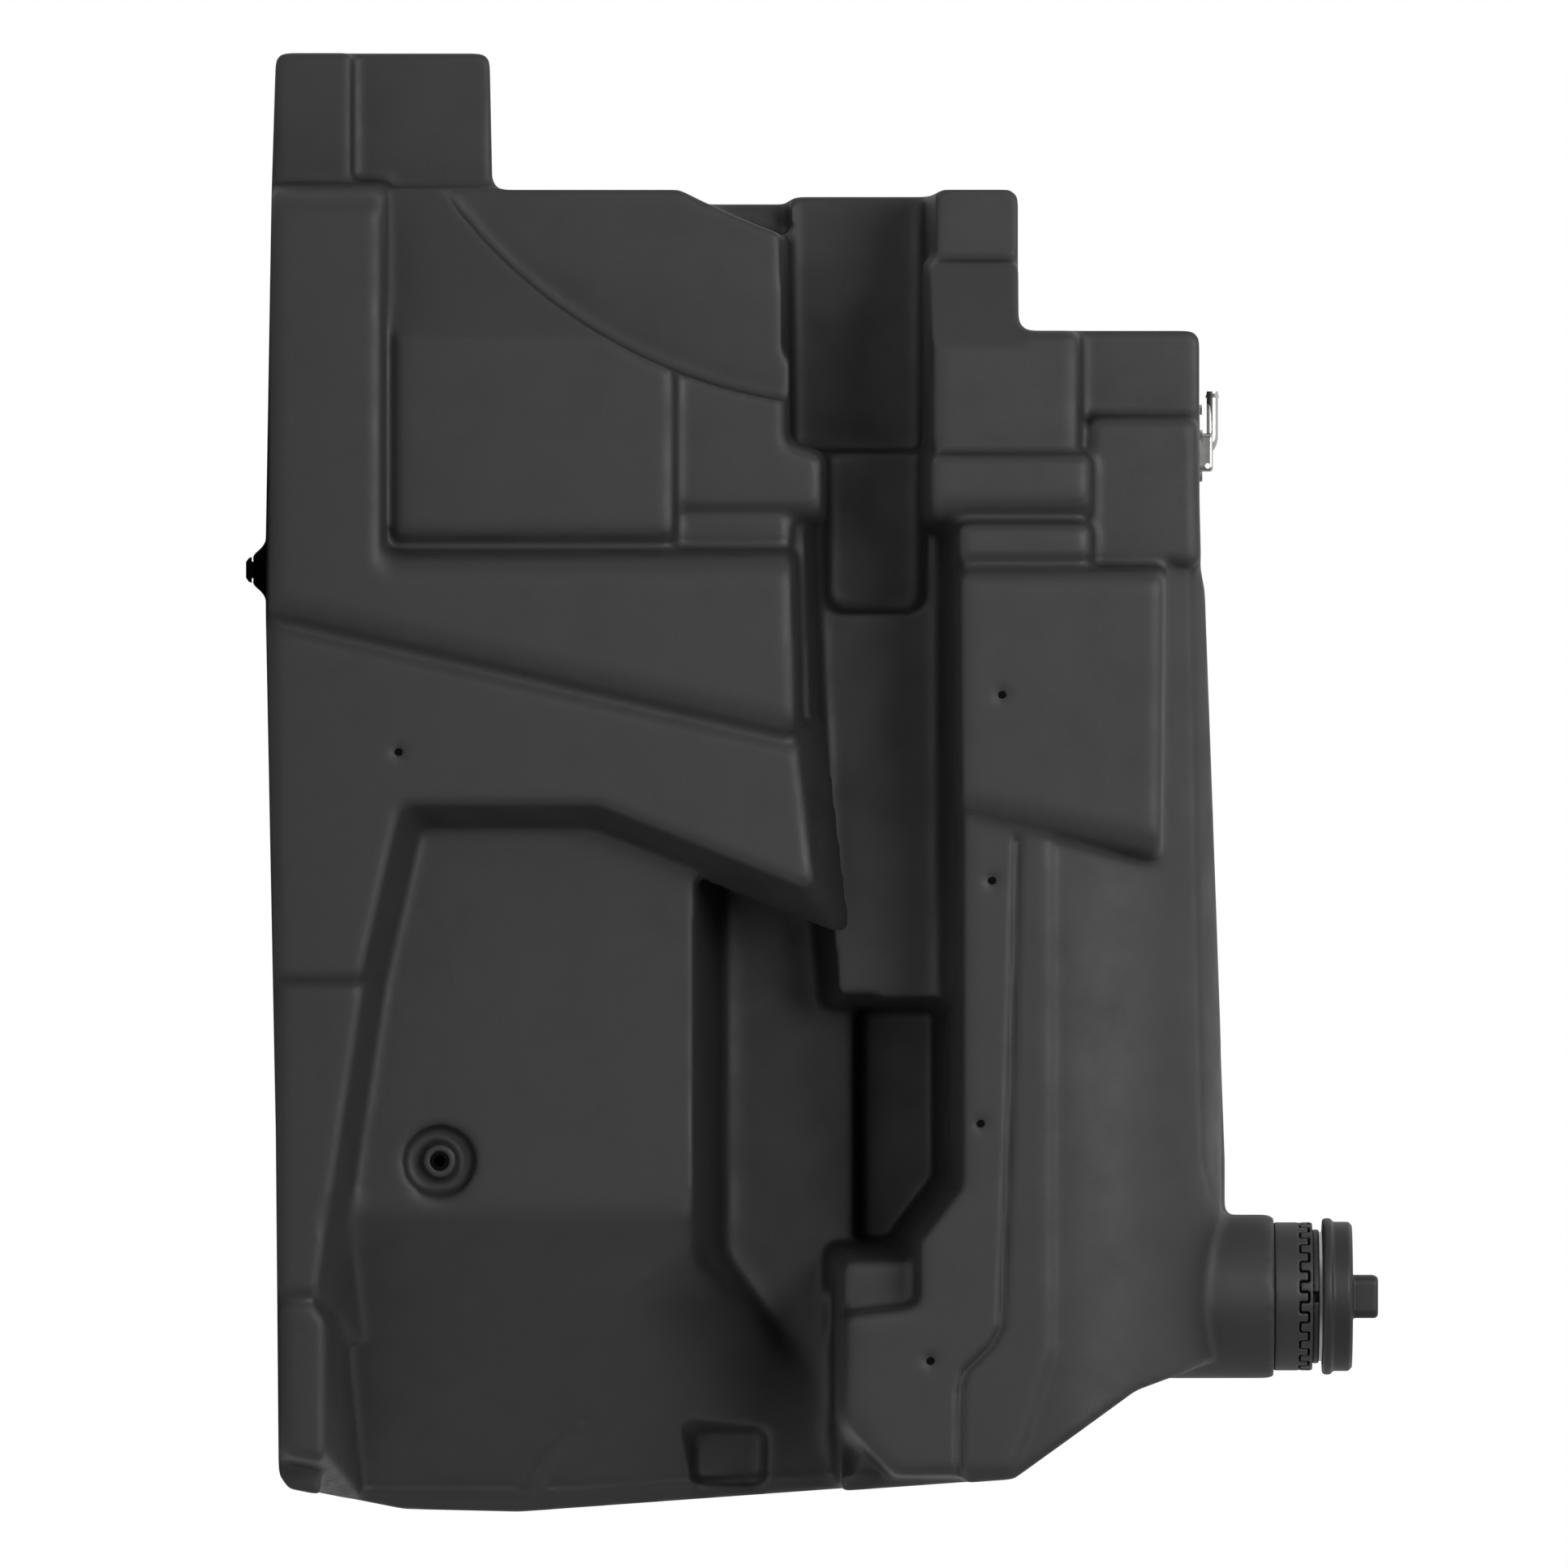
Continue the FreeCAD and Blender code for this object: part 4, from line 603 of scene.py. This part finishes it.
# the node that stands over an opening, the plug's radius, and its lower and upper end in Z
OPENINGS = [
    ("filler_sleeve", 0.050, 0.674, 0.688),
    ("sender_gasket", 0.028, 0.656, 0.664),
    ("drain_seal", 0.010, 0.014, 0.021),
]
bush_boxes = islands("front_inserts")
blank = with_plugs(plain_copy("tank_shell", "tank_moulding"), bush_boxes, PLUG_MARGIN, OPENINGS)
moulding = even_faces(blank, VOXEL, 0)
blend_slope(moulding)
moulding = even_faces(moulding, VOXEL, ROUNDS)
flow(moulding, SOFT_PLACES, FLOW_ROUNDS)
for line, width, height in PRESSED:
    press(moulding, line, width, height)
for low, high in bush_boxes:
    spot = ((low[0] + high[0]) / 2, (low[2] + high[2]) / 2)
    press(moulding, [spot, (spot[0] + 0.0002, spot[1])], DIMPLE_WIDTH, -DIMPLE_DEPTH)
thinned(moulding, MOULDING_TRIANGLES)
hand_over(moulding, tank_black, "tank", "tank_shell")

# %% [markdown]
# The cap, the sleeve and the rings are finer mouldings, so the same helper rounds them
# with faces of under a millimetre. The teeth of the crown come out with soft corners.

# %% Cap, sleeve and rings
FINE = 0.0008
FINE_ROUNDS = 3
# CAD node, name, body, finish, slot, most triangles
CAP_PARTS = [
    ("cap_shell", "cap_body", "cap", cap_black, "cap", 90000),
    ("filler_sleeve", "neck_sleeve", "tank", sleeve_black, "sleeve", 90000),
    ("lock_ring", "neck_lock_ring", "tank", sleeve_black, "sleeve", 50000),
    ("mouth_ring", "neck_mouth_ring", "tank", sleeve_black, "sleeve", 40000),
]
for node_name, name, body, material, slot, most in CAP_PARTS:
    rounded_part = even_faces(plain_copy(node_name, name), FINE, FINE_ROUNDS)
    thinned(rounded_part, most)
    hand_over(rounded_part, material, body, node_name)

# %% [markdown]
# The bushes for screws show only their small mouths, because the plastic covers their
# flanges; near-black painted shade stands for the dark inside of each bore. Five equal
# mouths are one shape repeated, which is a job for Geometry Nodes. The first cell makes
# the tree that repeats any shape, with its sizes as named inputs, and makes its result
# permanent.

# %% Helper for repeated pieces
def repeated(name, places, make_shape, sizes, material):
    """Mesh with one shape at each place, built by a node tree with named sizes."""
    points = bpy.data.meshes.new(name + "_places")
    points.from_pydata([tuple(place) for place in places], [], [])
    piece = bpy.data.objects.new(name, points)
    scene.collection.objects.link(piece)
    tree = bpy.data.node_groups.new(name + "_tree", "GeometryNodeTree")
    tree.interface.new_socket("Geometry", in_out="INPUT", socket_type="NodeSocketGeometry")
    tree.interface.new_socket("Geometry", in_out="OUTPUT", socket_type="NodeSocketGeometry")
    for label, amount in sizes.items():
        socket = tree.interface.new_socket(label, in_out="INPUT", socket_type="NodeSocketFloat")
        socket.default_value = amount
    given = tree.nodes.new("NodeGroupInput")
    result = tree.nodes.new("NodeGroupOutput")
    shape = make_shape(tree, given)
    spread = tree.nodes.new("GeometryNodeInstanceOnPoints")
    real = tree.nodes.new("GeometryNodeRealizeInstances")
    dress = tree.nodes.new("GeometryNodeSetMaterial")
    dress.inputs["Material"].default_value = material
    wire = tree.links.new
    wire(given.outputs["Geometry"], spread.inputs["Points"])
    wire(shape, spread.inputs["Instance"])
    wire(spread.outputs["Instances"], real.inputs["Geometry"])
    wire(real.outputs["Geometry"], dress.inputs["Geometry"])
    wire(dress.outputs["Geometry"], result.inputs["Geometry"])
    maker = piece.modifiers.new("maker", "NODES")
    maker.node_group = tree
    for item in tree.interface.items_tree:
        if item.name in sizes and item.in_out == "INPUT":
            maker[item.identifier] = sizes[item.name]
    return settled(piece)


print("the repeating tree is ready")

# %% [markdown]
# A mouth is a thin lip swept round a circle with a floor inside it, both in near-black
# painted shade that stands for the shadow down the bore. It lies in its bush's dimple,
# and its lip touches the plane of the moulding without standing proud.

# %% Mouths of the bushes
LIP = 0.0005
MOUTH_SIZES = {"Mouth Radius": 0.0021, "Lip Radius": LIP, "Floor Thickness": 0.0004}
MOUTH_SIDES, LIP_SIDES = 24, 10


def bush_mouth(tree, given):
    """A round lip and a sunk floor, opening towards -Y."""
    circle = tree.nodes.new("GeometryNodeCurvePrimitiveCircle")
    circle.inputs["Resolution"].default_value = MOUTH_SIDES
    lip = tree.nodes.new("GeometryNodeCurvePrimitiveCircle")
    lip.inputs["Resolution"].default_value = LIP_SIDES
    sweep = tree.nodes.new("GeometryNodeCurveToMesh")
    floor_disc = tree.nodes.new("GeometryNodeMeshCylinder")
    floor_disc.inputs["Vertices"].default_value = MOUTH_SIDES
    join = tree.nodes.new("GeometryNodeJoinGeometry")
    turn = tree.nodes.new("GeometryNodeTransform")
    turn.inputs["Rotation"].default_value = (math.radians(90), 0, 0)
    wire = tree.links.new
    wire(given.outputs["Mouth Radius"], circle.inputs["Radius"])
    wire(given.outputs["Lip Radius"], lip.inputs["Radius"])
    wire(circle.outputs["Curve"], sweep.inputs["Curve"])
    wire(lip.outputs["Curve"], sweep.inputs["Profile Curve"])
    wire(given.outputs["Mouth Radius"], floor_disc.inputs["Radius"])
    wire(given.outputs["Floor Thickness"], floor_disc.inputs["Depth"])
    wire(sweep.outputs["Mesh"], join.inputs["Geometry"])
    wire(floor_disc.outputs["Mesh"], join.inputs["Geometry"])
    wire(join.outputs["Geometry"], turn.inputs["Geometry"])
    return turn.outputs["Geometry"]


bush_places = []
for low, high in bush_boxes:
    bush_places.append(((low[0] + high[0]) / 2, low[1] + LIP, (low[2] + high[2]) / 2))
mouths = repeated("insert_mouths", bush_places, bush_mouth, MOUTH_SIZES, bore_painted_shade)
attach(mouths, "tank")
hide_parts("front_inserts")
# the panel insert gets the same near-black painted shade, so it reads as a shaded hole
nodes["panel_insert"].data.materials[0] = bore_painted_shade
print(mouths.name, len(mouths.data.polygons), "faces at", len(bush_places), "places")
